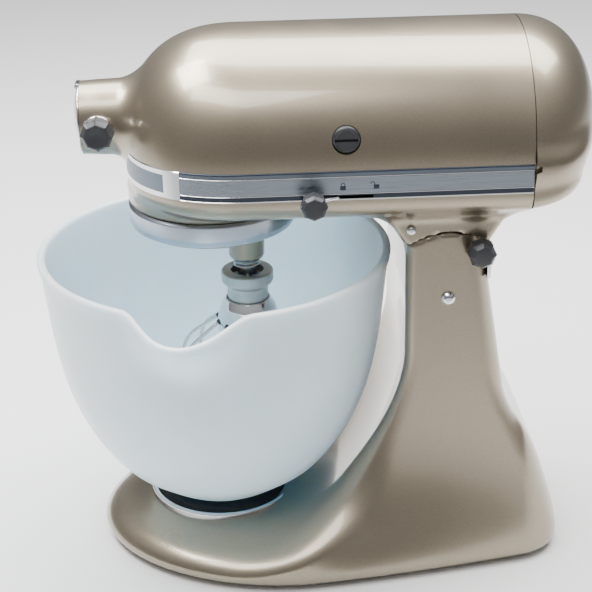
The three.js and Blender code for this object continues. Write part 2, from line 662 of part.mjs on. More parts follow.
function planetPinion() {
  const toothed = upright(gearOutline(PLANET_TEETH, MODULE, 0), 231.4, 239);
  return cut(toothed, rod(5.5, 230, 241, "z", [0, 0, 0], 20)).translate(OFFSET, 0, 0);
}

// The disc under the ring gear that carries the beater shaft round the bowl.
function planetaryHub() {
  const disc = turned([[0, 221.5], [40, 221.5], [48, 225], [49, 228.7], [0, 228.7]], "z", [0, 0, 0], 36);
  const sleeveOutline = [[0, 200], [11.2, 200], [11.9, 201.5], [11.9, 216], [15, 222], [0, 222]];
  const sleeve = turned(sleeveOutline, "z", [OFFSET, 0, 0], 24);
  return cut(
    join(disc, sleeve),
    rod(SHAFT_R + GAP, 190, 240, "z", [OFFSET, 0, 0], 20),
    rod(SHAFT_R + GAP, 224.2, 240, "z", [0, 0, 0], 24),
  );
}

const SHAFT_R = 6; // of the centre shaft and the beater shaft
const BEATER_PIN = { radius: 1.6, half: 9.6, z: 187.6 };

function beaterShaft() {
  const [r, thin] = [SHAFT_R, SHAFT_R - 0.8];
  const outline = [[0, 166], [thin, 166], [r, 167.5], [r, 229.4], [thin, 229.4], [thin, 240.4], [0, 240.4]];
  const shaft = turned(outline, "z", [OFFSET, 0, 0], 20);
  return cut(shaft, rod(BEATER_PIN.radius + GAP, -9, 9, "y", [OFFSET, 0, BEATER_PIN.z], 12));
}

const beaterPin = () =>
  rod(BEATER_PIN.radius, -BEATER_PIN.half, BEATER_PIN.half, "y", [OFFSET, 0, BEATER_PIN.z], 12);

function shaftSpring() {
  const coil = range(25, (i) => {
    const turn = (2 * PI * 2.5 * i) / 24;
    return V(OFFSET + 8.2 * cos(turn), 8.2 * sin(turn), 193 + (6 * i) / 24);
  });
  return wire(coil, 0.8, 30, 5);
}

// ---------------------------------------------------------------- whisk
function whiskHub() {
  const bore = SHAFT_R + 0.4;
  const outline = [
    [bore, 160.4], [13.2, 160.4], [13.6, 161], [13.6, 179.5], [16.6, 182], [17.3, 183.5], [17.3, 189.4],
    [16.3, 190.5], [10.8, 190.5], [10.8, 185], [bore, 185],
  ];
  const body = turned(outline, "z", [OFFSET, 0, 0], 24);
  return cut(body, block(OFFSET - 2.2, OFFSET + 2.2, -10.2, 10.2, 180.3, 187));
}

function whiskCap() {
  const outline = [
    [0, 144], [19, 144], [21, 147], [20.6, 158], [18.4, 165], [15, 170.5], [13.9, 170.5], [13.9, 160.1],
    [0, 160.1],
  ];
  return turned(outline, "z", [OFFSET, 0, 0], 24);
}

// One wire loop: out of the cap on one side, round under the axis, and back on the other side.
function whiskLoop(index) {
  const low = 45 + 3 * index;
  const leg = [
    [21.6, 154], [30, 148], [42, 138], [47.5, 124], [47, 108], [41, 88], [30, 68 + index],
    [16, low + 5 + index * 0.5],
  ];
  const turn = radians(30 * index + 15);
  const at = (r, z) => V(OFFSET + r * cos(turn), r * sin(turn), z);
  const down = leg.map(([r, z]) => at(r, z));
  const up = leg.map(([r, z]) => at(-r, z)).reverse();
  return wire([...down, at(0, low), ...up], 1.2, 28, 5);
}

// ---------------------------------------------------------------- bowl
const BOWL_OUTSIDE = [
  [0, 33.4], [36, 33.4], [41.6, 37], [48.9, 42], [59.4, 50], [71.3, 60], [82.8, 75], [93.7, 95], [102.6, 120],
  [108.5, 150], [111.8, 180], [113.6, 198],
];
const BOWL_RIM = [[115.4, 205.5], [115, 208], [113.2, 208.8], [110.8, 207.6], [109, 198]];
const BOWL_INSIDE = [
  [106.6, 180], [103.4, 150], [97.2, 121], [88.4, 97.5], [78, 78], [66.8, 63.8], [56, 54.6], [46.5, 48.2],
  [38, 42.6], [0, 39.4],
];

// Draws the rim out into a pouring spout.
function poured(r, a, z) {
  const off = abs(((a * 180) / PI - SPOUT.angle + 540) % 360 - 180) / SPOUT.half;
  const height = smooth((z - SPOUT.start) / (SPOUT.top - SPOUT.start)) ** 1.5;
  const share = off < 1 ? cos((off * PI) / 2) ** 2 * height : 0;
  const out = r + SPOUT.reach * share;
  return V(out * cos(a), out * sin(a), z - SPOUT.dip * share);
}

function bowl() {
  const segments = 44;
  const profile = [...BOWL_OUTSIDE.slice(1), ...BOWL_RIM, ...BOWL_INSIDE.slice(0, -1)];
  const rings = profile.map(([r, z]) => range(segments, (i) => poured(r, (2 * PI * i) / segments, z)));
  const glass = loft(rings);
  const path = [
    [101.6, 123.4], [115, 117], [128, 124], [133.2, 146], [134.2, 168], [130, 184], [121, 191], [110, 189],
  ];
  const a = radians(HANDLE_ANGLE);
  const route = new THREE.CatmullRomCurve3(path.map(([r, z]) => V(r * cos(a), r * sin(a), z)));
  const section = new THREE.Shape(
    range(10, (i) => new THREE.Vector2(4.8 * cos(radians(36 * i)), 11 * sin(radians(36 * i)))));
  const strap = new THREE.ExtrudeGeometry(section, { extrudePath: route, steps: 16, bevelEnabled: false });
  const midWall = 0.977; // scales the outside to the middle of the glass
  const outer = rings.slice(0, BOWL_OUTSIDE.length + 2);
  const insideWall = outer.map((ring) => ring.map((p) => V(midWall * p.x, midWall * p.y, p.z)));
  return join(glass, cut(strap, loft(insideWall)));
}

// The ring under the bowl whose lugs lock in the clamp plate.
function bowlFoot() {
  return turned([[0, 25.7], [46, 25.7], [46.8, 27], [46.8, 31], [44, 33], [0, 33]], "z", [0, 0, 0], 40);
}

// ---------------------------------------------------------------- assembly
const SIDES = [["right", -1], ["left", 1]];

function addStand() {
  add("pedestal", pedestal(), LOOKS.paint());
  FEET.forEach((place) => add(`foot_${place[0]}`, foot(place), LOOKS.rubber()));
  add("bowl_clamp_plate", clampPlate(), LOOKS.chrome());
  CLAMP_SCREWS.forEach((place, i) => add(`clamp_screw_${i + 1}`, clampScrew(place), LOOKS.steel()));
  add("hinge_pin", crossPin(PIN.x, PIN.z, -58.4, 57, 4.5, PIN.radius), LOOKS.chrome());
  add("height_screw", heightScrew(), LOOKS.steel());
  const { x, y, half, z0, z1 } = REAR_PLATE;
  add("rear_plate", block(x, x + 2.6, y - half, y + half, z0, z1), LOOKS.chrome());
  add("rear_knob", rearKnob(), LOOKS.black());
}

function addHead() {
  add("motor_housing", motorHousing(), LOOKS.paint());
  add("gearbox_housing", gearboxHousing(), LOOKS.paint());
  add("rear_cover", rearCover(), LOOKS.paint());
  add("rear_cover_screw", coverScrew(), LOOKS.chrome());
  add("trim_band", trimBand(), LOOKS.band());
  add("drip_ring", dripRing(), LOOKS.steel());
  add("ear_screw", crossPin(EAR_SCREW.x, EAR_SCREW.z, -NECK_HALF - GAP - 0.8, -46, 3, 1.6), LOOKS.chrome());
  add("hub_cover", hubCover(), LOOKS.chrome());
  add("attachment_knob", attachmentKnob(), LOOKS.black());
  add("lock_lever", leverBlade(-1), LOOKS.chrome());
  add("lock_knob", leverKnob(-1), LOOKS.black());
  add("speed_lever", leverBlade(1), LOOKS.chrome());
  add("speed_knob", leverKnob(1), LOOKS.black());
  SIDES.forEach(([side, sign]) => {
    add(`brush_cap_${side}`, brushCap(sign), LOOKS.black());
    add(`brush_${side}`, brush(sign), LOOKS.carbon());
  });
}

function addDrive() {
  add("motor_shaft", motorShaft(), LOOKS.steel());
  add("armature", armature(), LOOKS.copper());
  add("cooling_fan", coolingFan(), LOOKS.black());
  add("stator", stator(), LOOKS.steel());
  add("bearing_front", bearing(58), LOOKS.brass());
  add("bearing_rear", bearing(170), LOOKS.brass());
  add("bracket_front", bearingBracket(58), LOOKS.castGrey());
  add("bracket_rear", bearingBracket(170), LOOKS.castGrey());
  add("control_board", controlBoard(), LOOKS.board());
  add("worm_wheel", wormWheel(), LOOKS.brass());
  add("centre_shaft", centreShaft(), LOOKS.steel());
  add("hub_pinion", hubPinion(), LOOKS.steel());
  add("attachment_socket", attachmentSocket(), LOOKS.steel());
  add("ring_gear", ringGear(), LOOKS.steel());
  add("planetary_hub", planetaryHub(), LOOKS.paint());
  add("planet_pinion", planetPinion(), LOOKS.steel());
}

function addBeater() {
  add("beater_shaft", beaterShaft(), LOOKS.steel());
  add("beater_pin", beaterPin(), LOOKS.steel());
  add("shaft_spring", shaftSpring(), LOOKS.steel());
  add("whisk_hub", whiskHub(), LOOKS.castGrey());
  add("whisk_cap", whiskCap(), LOOKS.chrome());
  range(6, (i) => add(`whisk_loop_${i + 1}`, whiskLoop(i), LOOKS.steel()));
}

function addBowl() {
  add("bowl", bowl(), LOOKS.glass());
  add("bowl_foot", bowlFoot(), LOOKS.steel());
}

addStand();
addHead();
addDrive();
addBeater();
addBowl();

mixer.position.x = BOWL_AXIS_X;
const machine = new THREE.Group();
machine.add(mixer);
export default machine;
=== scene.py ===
"""The looks of a tilt-head stand mixer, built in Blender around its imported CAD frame.

Shapes are worked out in millimetres about the bowl's axis: X along the machine with the attachment hub
towards -X, Y across it, Z up from the table. piece() turns them into metres in the frame's own axes.
Castings are the surfaces where a distance field is zero; turned and bent parts are lathes and tubes.
"""
import json
import math

import bmesh
import bpy
import numpy as np
from mathutils import Matrix, Vector


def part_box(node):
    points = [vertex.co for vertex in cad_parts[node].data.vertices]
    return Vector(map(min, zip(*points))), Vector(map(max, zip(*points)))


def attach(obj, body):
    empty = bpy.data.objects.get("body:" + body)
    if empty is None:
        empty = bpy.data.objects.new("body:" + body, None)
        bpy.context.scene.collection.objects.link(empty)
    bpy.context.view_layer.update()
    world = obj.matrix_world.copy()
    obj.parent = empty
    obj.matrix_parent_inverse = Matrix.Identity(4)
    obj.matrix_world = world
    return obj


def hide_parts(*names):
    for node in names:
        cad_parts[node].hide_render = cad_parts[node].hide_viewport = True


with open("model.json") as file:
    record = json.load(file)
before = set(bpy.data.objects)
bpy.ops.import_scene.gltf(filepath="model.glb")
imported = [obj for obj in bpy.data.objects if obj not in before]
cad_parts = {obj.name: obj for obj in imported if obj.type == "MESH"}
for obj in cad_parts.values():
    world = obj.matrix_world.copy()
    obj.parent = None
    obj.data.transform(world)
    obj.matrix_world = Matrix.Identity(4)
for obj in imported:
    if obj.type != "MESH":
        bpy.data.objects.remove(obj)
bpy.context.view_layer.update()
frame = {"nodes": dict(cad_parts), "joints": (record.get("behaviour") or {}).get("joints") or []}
JOINTS = {joint["name"]: joint for joint in frame["joints"]}

# ---------------------------------------------------------------- driving dimensions, from the frame
MM = 0.001
BOWL_AXIS = np.array([JOINTS["bowl_twist"]["pos_m"][0], JOINTS["bowl_twist"]["pos_m"][1], 0.0])


def local(point):
    """A point of the frame in millimetres about the bowl's axis."""
    return (np.array(point, float) - BOWL_AXIS) / MM


def box(node):
    low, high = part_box(node)
    return local(low), local(high)


PIN = local(JOINTS["head_tilt"]["pos_m"])
OFFSET = local(JOINTS["beater_spin"]["pos_m"])[0]
HUB_Z = local(JOINTS["attachment_drive_spin"]["pos_m"])[2]
HOUSING = box("motor_housing")
HEAD_HALF = HOUSING[1][1]
SHOULDER_Z = HOUSING[1][2] - HEAD_HALF
SEAM_X = HOUSING[1][0]
HUB_FRONT = HOUSING[0][0]
REAR_X = box("rear_cover")[1][0]
BAND_LOW, BAND_HIGH = box("trim_band")[0][2], box("trim_band")[1][2]
PEDESTAL = box("pedestal")
BASE_FRONT, BASE_REAR, BASE_HALF = PEDESTAL[0][0], PEDESTAL[1][0], PEDESTAL[1][1]
BOTTOM_Z = PEDESTAL[0][2]
BASE_TOP = 29.0
BASE_WIDEST = 48.0
NOSE_X = 21.0
NOSE_REACH = 74.0
KEEL_Z = 248.0
SPLIT_Z = 273.0
WALL = 4.0
HUB_RADIUS = 23.2
NECK_HALF = 57.5
PARTING_R = 44.0
BOSS_R = 53.8


# ---------------------------------------------------------------- outlines and shapes
def clamp(value, low=0.0, high=1.0):
    return np.minimum(np.maximum(value, low), high)


def ease(value):
    share = clamp(value)
    return share * share * (3 - 2 * share)


def rounded(corners, steps=6, closed=False):
    """An outline of (u, v, radius) corners, each corner turned into an arc of its radius."""
    points = []
    count = len(corners)
    for i, (u, v, radius) in enumerate(corners):
        here = np.array((u, v), float)
        if radius <= 0 or (not closed and i in (0, count - 1)):
            points.append(here)
            continue
        back = np.array(corners[i - 1][:2], float) - here
        on = np.array(corners[(i + 1) % count][:2], float) - here
        back_length, on_length = np.linalg.norm(back), np.linalg.norm(on)
        back, on = back / back_length, on / on_length
        half = math.acos(float(clamp(back @ on, -1, 1))) / 2
        if half > 1.56:
            points.append(here)
            continue
        reach = min(radius / math.tan(half), 0.49 * back_length, 0.49 * on_length)
        radius = reach * math.tan(half)
        middle = back + on
        centre = here + middle / np.linalg.norm(middle) * radius / math.sin(half)
        start, end = here + back * reach - centre, here + on * reach - centre
        first = math.atan2(start[1], start[0])
        turn = (math.atan2(end[1], end[0]) - first + math.pi) % (2 * math.pi) - math.pi
        for k in range(steps + 1):
            angle = first + turn * k / steps
            points.append(centre + radius * np.array((math.cos(angle), math.sin(angle))))
    return np.array(points)


def through(points, steps=8):
    """A smooth curve through the points (Catmull-Rom)."""
    points = np.array(points, float)
    around = [2 * points[0] - points[1], *points, 2 * points[-1] - points[-2]]
    curve = []
    for a, b, c, d in zip(around, around[1:], around[2:], around[3:]):
        for k in range(steps):
            t = k / steps
            curve.append(0.5 * (2 * b + (c - a) * t + (2 * a - 5 * b + 4 * c - d) * t ** 2
                                + (3 * b - a - 3 * c + d) * t ** 3))
    curve.append(points[-1])
    return np.array(curve)


def merged(*shapes):
    points, faces, start = [], [], 0
    for some_points, some_faces in shapes:
        points.append(np.asarray(some_points, float))
        faces += [tuple(i + start for i in face) for face in some_faces]
        start += len(some_points)
    return np.vstack(points), faces


def loft(rings, cap_first=True, cap_last=True, closed=True):
    """A skin over rings with the same number of points. A ring whose points meet becomes one point."""
    points, rows, faces = [], [], []
    for ring in rings:
        ring = np.asarray(ring, float)
        if np.ptp(ring, axis=0).max() < 1e-6:
            rows.append([len(points)])
            points.append(ring[0])
        else:
            rows.append(list(range(len(points), len(points) + len(ring))))
            points += list(ring)
    for lower, upper in zip(rows, rows[1:]):
        count = max(len(lower), len(upper))
        for i in range(count if closed else count - 1):
            j = (i + 1) % count
            if len(lower) == 1 and len(upper) > 1:
                faces.append((lower[0], upper[j], upper[i]))
            elif len(upper) == 1 and len(lower) > 1:
                faces.append((lower[i], lower[j], upper[0]))
            elif len(lower) > 1:
                faces.append((lower[i], lower[j], upper[j], upper[i]))
    if cap_first and len(rows[0]) > 1:
        faces.append(tuple(reversed(rows[0])))
    if cap_last and len(rows[-1]) > 1:
        faces.append(tuple(rows[-1]))
    return np.array(points), faces


def turned_to(points, axis, centre):
    """Points made about +Z, laid about the named axis and moved to centre."""
    x, y, z = points[:, 0], points[:, 1], points[:, 2]
    laid = {"z": (x, y, z), "x": (z, x, y), "-x": (-z, x, y), "y": (x, z, y), "-y": (x, -z, y)}[axis]
    return np.stack(laid, axis=1) + np.array(centre, float)


def lathe(outline, axis="z", centre=(0, 0, 0), segments=72, closed=False):
    """A turned solid from a (radius, height) outline."""
    angles = np.arange(segments) * 2 * math.pi / segments
    outline = np.asarray(outline, float)
    if closed:
        outline = np.vstack([outline, outline[:1]])
    rings = [np.stack([r * np.cos(angles), r * np.sin(angles), 0 * angles + h], axis=1) for r, h in outline]
    points, faces = loft(rings, cap_first=not closed, cap_last=not closed)
    return turned_to(points, axis, centre), faces


def grip(outline, facets, axis="z", centre=(0, 0, 0), segments=160):
    """A turned solid whose outer radii are pressed flat into facets with soft corners, as on a hand knob."""
    step = 2 * math.pi / facets
    angles = np.arange(segments) * 2 * math.pi / segments + step / 2
    away = np.abs(angles % step - step / 2)
    flat = math.cos(step / 2) / np.cos(away)
    corner = clamp(away / (step / 2)) ** 6
    largest = max(r for r, _ in outline)
    rings = []
    for r, h in outline:
        pressed = 1 - (1 - flat * (1 - 0.025 * (1 - corner))) * ease((r / largest - 0.3) / 0.5)
        radius = r * pressed
        rings.append(np.stack([radius * np.cos(angles), radius * np.sin(angles), 0 * angles + h], axis=1))
    points, faces = loft(rings)
    return turned_to(points, axis, centre), faces


def tube(path, section):
    """A bar of one section, given as (side, up) points or a radius, along a smooth path."""
    path = np.asarray(path, float)
    if np.isscalar(section):
        angles = np.arange(14) * 2 * math.pi / 14
        section = np.stack([section * np.cos(angles), section * np.sin(angles)], axis=1)
    ahead = np.gradient(path, axis=0)
    ahead /= np.linalg.norm(ahead, axis=1)[:, None]
    side = np.cross(ahead[0], (0, 0, 1))
    if np.linalg.norm(side) < 1e-3:
        side = np.array((0.0, 1.0, 0.0))
    rings = []
    for point, direction in zip(path, ahead):
        side = side - direction * (side @ direction)
        side /= np.linalg.norm(side)
        up = np.cross(side, direction)
        rings.append(point + section[:, :1] * side + section[:, 1:] * up)
    return loft(rings)


def plate(outline, low, high, axis="z", edge=0.4):
    """A flat plate of a closed (u, v) outline, with its rims broken by a small round."""
    outline = np.asarray(outline, float)
    middle = outline.mean(axis=0)
    levels = [(low, edge), (low + 0.3 * edge, 0.3 * edge), (low + edge, 0), (high - edge, 0),
              (high - 0.3 * edge, 0.3 * edge), (high, edge)]
    rings = []
    for height, inset in levels:
        away = outline - middle
        length = np.linalg.norm(away, axis=1)[:, None]
        ring = middle + away * (1 - inset / length)
        rings.append(np.column_stack([ring, np.full(len(ring), height)]))
    points, faces = loft(rings)
    return turned_to(points, axis, (0, 0, 0)), faces


def brick(low, high, edge=0.5):
    """A box with rounded upright edges."""
    (x0, y0, z0), (x1, y1, z1) = low, high
    outline = rounded([(x0, y0, edge), (x1, y0, edge), (x1, y1, edge), (x0, y1, edge)], 3, closed=True)
    return plate(outline, z0, z1, edge=min(edge, 0.4))


# ---------------------------------------------------------------- castings as distance fields
def round_union(a, b, radius):
    u, v = np.maximum(radius - a, 0), np.maximum(radius - b, 0)
    return np.maximum(radius, np.minimum(a, b)) - np.hypot(u, v)


def round_cross(a, b, radius):
    u, v = np.maximum(a + radius, 0), np.maximum(b + radius, 0)
    return np.minimum(-radius, np.maximum(a, b)) + np.hypot(u, v)


def round_cut(a, tool, radius):
    return round_cross(a, -tool, radius)


def slopes(field, points, step=0.05):
    """The field and its gradient at points."""
    columns = []
    for axis in range(3):
        shift = np.zeros(3)
        shift[axis] = step
        ahead, behind = points + shift, points - shift
        columns.append((field(*ahead.T) - field(*behind.T)) / (2 * step))
    return field(*points.T), np.stack(columns, axis=1)


def settled(points, field, furthest, rounds=3):
    """Points moved on to the surface where the field is zero."""
    for _ in range(rounds):
        value, slope = slopes(field, points)
        size = np.maximum((slope ** 2).sum(axis=1), 0.05)
        step = value[:, None] * slope / size[:, None]
        length = np.maximum(np.linalg.norm(step, axis=1), 1e-9)
        points = points - step * np.minimum(1, furthest / length)[:, None]
    return points


def skin(field, low, high, cell):
    """The closed surface where the field is zero, inside a box, as a mesh of even quads."""
    axes = [np.arange(a, b + cell, cell) for a, b in zip(low, high)]
    value = field(axes[0][:, None, None], axes[1][None, :, None], axes[2][None, None, :])
    value = value + np.zeros([len(a) for a in axes])
    inside = value < 0
    ends = [slice(0, -1), slice(1, None)]
    corners = [(i, j, k) for i in (0, 1) for j in (0, 1) for k in (0, 1)]
    filled = sum(inside[ends[i], ends[j], ends[k]].astype(np.int8) for i, j, k in corners)
    cells = np.argwhere((filled > 0) & (filled < 8))
    number = np.full(filled.shape, -1)
    number[tuple(cells.T)] = np.arange(len(cells))
    total, crossings = np.zeros((len(cells), 3)), np.zeros((len(cells), 1))
    for corner in corners:
        for axis in range(3):
            if corner[axis]:
                continue
            other = list(corner)
            other[axis] = 1
            a = value[tuple((cells + corner).T)]
            b = value[tuple((cells + other).T)]
            crossed = (a < 0) != (b < 0)
            share = np.where(crossed, a / np.where(a == b, 1, a - b), 0)
            where = np.array(corner, float) + share[:, None] * (np.array(other) - corner)
            total += where * crossed[:, None]
            crossings += crossed[:, None]
    points = np.array(low, float) + (cells + total / crossings) * cell
    quads = []
    for axis in range(3):
        first, second = [a for a in range(3) if a != axis]
        if axis == 1:
            first, second = second, first
        low_side = [slice(None)] * 3
        low_side[axis] = slice(0, -1)
        high_side = [slice(None)] * 3
        high_side[axis] = slice(1, None)
        a, b = inside[tuple(low_side)], inside[tuple(high_side)]
        for turn, crossed in ((1, a & ~b), (-1, ~a & b)):
            edge = np.argwhere(crossed)
            edge = edge[(edge[:, first] > 0) & (edge[:, second] > 0)]
            edge = edge[(edge[:, first] < filled.shape[first]) & (edge[:, second] < filled.shape[second])]
            ring = []
            for back_first, back_second in ((1, 1), (0, 1), (0, 0), (1, 0))[::turn]:
                cell_index = edge.copy()
                cell_index[:, first] -= back_first
                cell_index[:, second] -= back_second
                ring.append(number[tuple(cell_index.T)])
            quads.append(np.stack(ring, axis=1))
    quads = np.vstack(quads)
    quads = quads[(quads >= 0).all(axis=1)]
    points = settled(points, field, cell)
    for _ in range(2):
        centres = points[quads].mean(axis=1)
        sums, counts = np.zeros_like(points), np.zeros((len(points), 1))
        for corner in range(4):
            np.add.at(sums, quads[:, corner], centres)
            np.add.at(counts, quads[:, corner], 1)
        points = settled(sums / np.maximum(counts, 1), field, cell, 2)
    return points, [tuple(quad) for quad in quads.tolist()]


# ---------------------------------------------------------------- Blender objects
def new_object(name, shape):
    points, faces = shape
    mesh = bpy.data.meshes.new(name)
    mesh.from_pydata((np.asarray(points) * MM + BOWL_AXIS).tolist(), [], faces)
    work = bmesh.new()
    work.from_mesh(mesh)
    bmesh.ops.remove_doubles(work, verts=work.verts, dist=1e-7)
    bmesh.ops.recalc_face_normals(work, faces=work.faces)
    work.to_mesh(mesh)
    work.free()
    obj = bpy.data.objects.new(name, mesh)
    bpy.context.scene.collection.objects.link(obj)
    return obj


def sliced(obj, *planes):
    """Cuts off what lies beyond each (point, outward normal) plane, and closes the cut with a flat face."""
    work = bmesh.new()
    work.from_mesh(obj.data)
    for point, normal in planes:
        spot = Vector(np.array(point, float) * MM + BOWL_AXIS)
        parts = work.verts[:] + work.edges[:] + work.faces[:]
        made = bmesh.ops.bisect_plane(work, geom=parts, plane_co=spot, plane_no=Vector(normal), dist=1e-7,
                                      clear_outer=True)
        rim = [e for e in made["geom_cut"] if isinstance(e, bmesh.types.BMEdge) and e.is_boundary]
        bmesh.ops.triangle_fill(work, use_beauty=True, use_dissolve=False, edges=rim, normal=Vector(normal))
    bmesh.ops.recalc_face_normals(work, faces=work.faces)
    work.to_mesh(obj.data)
    work.free()


def carved(obj, *tools):
    """Cuts the shapes out of the object."""
    for shape in tools:
        tool = new_object("tool", shape)
        modifier = obj.modifiers.new("cut", "BOOLEAN")
        modifier.operation = "DIFFERENCE"
        modifier.solver = "EXACT"
        modifier.object = tool
        bpy.context.view_layer.update()
        result = bpy.data.meshes.new_from_object(obj.evaluated_get(bpy.context.evaluated_depsgraph_get()))
        obj.modifiers.clear()
        obj.data = result
        bpy.data.objects.remove(tool)


def finished(obj, material, body, replaces=(), sharp=38.0):
    """Shades the object, gives it its material, ties it to its body, and hides the CAD nodes that it
    replaces.
    """
    obj.data.materials.clear()
    obj.data.materials.append(material)
    obj.data.shade_smooth()
    obj.data.set_sharp_from_angle(angle=math.radians(sharp))
    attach(obj, body)
    if replaces:
        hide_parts(*replaces)
    return obj


def piece(name, shape, material, body, replaces=(), sharp=38.0):
    return finished(new_object(name, shape), material, body, replaces, sharp)


# ---------------------------------------------------------------- materials
def principled(name, color, roughness, metallic=0.0, **sockets):
    made = bpy.data.materials.new(name)
    made.use_nodes = True
    shader = made.node_tree.nodes["Principled BSDF"]
    shader.inputs["Base Color"].default_value = (*color, 1)
    shader.inputs["Roughness"].default_value = roughness
    shader.inputs["Metallic"].default_value = metallic
    for label, value in sockets.items():
        shader.inputs[label.replace("_", " ").title().replace("Ior", "IOR")].default_value = value
    return made


def link(made, source, target):
    made.node_tree.links.new(source, target)


def noise(made, scale, stretch=(1, 1, 1), detail=2.0):
    """A noise in the frame's own coordinates, scaled per metre."""
    nodes = made.node_tree.nodes
    place = nodes.new("ShaderNodeTexCoord")
    mapping = nodes.new("ShaderNodeMapping")
    mapping.inputs["Scale"].default_value = stretch
    texture = nodes.new("ShaderNodeTexNoise")
    texture.inputs["Scale"].default_value = scale
    texture.inputs["Detail"].default_value = detail
    link(made, place.outputs["Object"], mapping.inputs["Vector"])
    link(made, mapping.outputs["Vector"], texture.inputs["Vector"])
    return texture.outputs["Fac"]


def spread_out(made, source, low, high, least=0.3, most=0.7):
    """The source's range from least to most, stretched over low to high."""
    node = made.node_tree.nodes.new("ShaderNodeMapRange")
    for label, value in (("From Min", least), ("From Max", most), ("To Min", low), ("To Max", high)):
        node.inputs[label].default_value = value
    link(made, source, node.inputs["Value"])
    return node.outputs["Result"]


def shader_of(made):
    return made.node_tree.nodes["Principled BSDF"]


def mixed_color(made, source, first, second):
    node = made.node_tree.nodes.new("ShaderNodeMix")
    node.data_type = "RGBA"
    node.inputs["A"].default_value = (*first, 1)
    node.inputs["B"].default_value = (*second, 1)
    link(made, source, node.inputs["Factor"])
    return node.outputs["Result"]


def colored(made, source, first, second):
    link(made, mixed_color(made, source, first, second), shader_of(made).inputs["Base Color"])


def roughened(made, source, low, high):
    link(made, spread_out(made, source, low, high), shader_of(made).inputs["Roughness"])


def bumped(made, source, strength, depth_mm):
    node = made.node_tree.nodes.new("ShaderNodeBump")
    node.inputs["Strength"].default_value = strength
    node.inputs["Distance"].default_value = depth_mm * MM
    link(made, source, node.inputs["Height"])
    link(made, node.outputs["Normal"], shader_of(made).inputs["Normal"])


def paint(name="champagne_paint"):
    """Metallic enamel: fine flakes that vary in brightness, under a clear coat with a slight ripple."""
    made = principled(name, (0.36, 0.295, 0.205), 0.3, 0.85, coat_weight=0.8, coat_roughness=0.04)
    flakes = noise(made, 2600, detail=1)
    colored(made, spread_out(made, flakes, 0, 1), (0.27, 0.225, 0.16), (0.36, 0.305, 0.225))
    roughened(made, noise(made, 14), 0.27, 0.36)
    bumped(made, noise(made, 420, detail=1), 0.03, 0.2)
    return made


def frosted_glass():
    """Milky glass with a fine frosted surface."""
    made = principled("frosted_glass", (0.80, 0.89, 0.96), 0.4, subsurface_weight=0.8, coat_weight=0.25,
                      coat_roughness=0.15)
    shader_of(made).inputs["Subsurface Radius"].default_value = (0.010, 0.014, 0.020)
    shader_of(made).inputs["Subsurface Scale"].default_value = 1.0
    cloudy = noise(made, 30, detail=4)
    colored(made, spread_out(made, cloudy, 0, 1), (0.69, 0.83, 0.95), (0.74, 0.87, 0.97))
    roughened(made, noise(made, 900), 0.34, 0.46)
    bumped(made, noise(made, 1800), 0.08, 0.1)
    return made


def polished(name, color, roughness, smudge=0.08):
    """Polished metal with faint smudges."""
    made = principled(name, color, roughness, 1.0)
    colored(made, spread_out(made, noise(made, 45, detail=4), 0, 1), color, tuple(0.92 * c for c in color))
    roughened(made, noise(made, 60, detail=5), roughness, roughness + smudge)
    bumped(made, noise(made, 900), 0.02, 0.05)
    return made


def brushed(name, color, roughness, along, fine=1500):
    """Metal brushed along one axis."""
    stretch = tuple(0.02 if axis == along else 1 for axis in "xyz")
    made = principled(name, color, roughness, 1.0)
    lines = noise(made, fine, stretch, 3)
    colored(made, spread_out(made, lines, 0, 1), tuple(0.88 * c for c in color),
            tuple(min(1, 1.08 * c) for c in color))
    roughened(made, lines, roughness - 0.06, roughness + 0.08)
    bumped(made, lines, 0.1, 0.05)
    return made


def cast(name, color, roughness, metallic, grain=700, bump=0.25):
    """Cast or moulded surface with a fine even grain."""
    made = principled(name, color, roughness, metallic)
    colored(made, spread_out(made, noise(made, 90, detail=4), 0, 1), tuple(0.85 * c for c in color),
            tuple(min(1, 1.12 * c) for c in color))
    roughened(made, noise(made, 120, detail=3), roughness - 0.05, roughness + 0.08)
    bumped(made, noise(made, grain, detail=3), bump, 0.12)
    return made


def striped(name, first, second, per_metre, along, roughness, metallic):
    """Turns of wire or laminations: even stripes across one axis."""
    made = principled(name, first, roughness, metallic)
    nodes = made.node_tree.nodes
    place = nodes.new("ShaderNodeTexCoord")
    wave = nodes.new("ShaderNodeTexWave")
    wave.bands_direction = along.upper()
    wave.inputs["Scale"].default_value = per_metre
    wave.inputs["Distortion"].default_value = 0.4
    link(made, place.outputs["Object"], wave.inputs["Vector"])
    colored(made, wave.outputs["Fac"], first, second)
    bumped(made, wave.outputs["Fac"], 0.4, 0.3)
    roughened(made, noise(made, 200), roughness - 0.05, roughness + 0.1)
    return made


PAINT = paint()
GLASS = frosted_glass()
CHROME = polished("chrome", (0.80, 0.81, 0.83), 0.06)
STEEL = polished("steel", (0.56, 0.57, 0.60), 0.22, 0.12)
WIRE = polished("whisk_wire", (0.66, 0.67, 0.70), 0.14, 0.08)
BAND = brushed("band_steel", (0.30, 0.335, 0.375), 0.3, "x")
BAND_GREY = brushed("band_stripe_grey", (0.17, 0.20, 0.24), 0.35, "x")
BAND_DARK = brushed("band_stripe_dark", (0.06, 0.07, 0.09), 0.4, "x")
RING = polished("ring_aluminium", (0.50, 0.55, 0.62), 0.26, 0.1)
CAST_GREY = cast("cast_grey", (0.50, 0.50, 0.49), 0.4, 0.9)
BLACK = cast("black_plastic", (0.030, 0.032, 0.036), 0.42, 0.0, 500, 0.3)
RUBBER = cast("rubber", (0.018, 0.018, 0.019), 0.75, 0.0, 900, 0.4)
BRASS = polished("brass", (0.66, 0.48, 0.22), 0.25, 0.12)
GEAR_STEEL = cast("gear_steel", (0.42, 0.42, 0.44), 0.35, 1.0, 1200, 0.15)
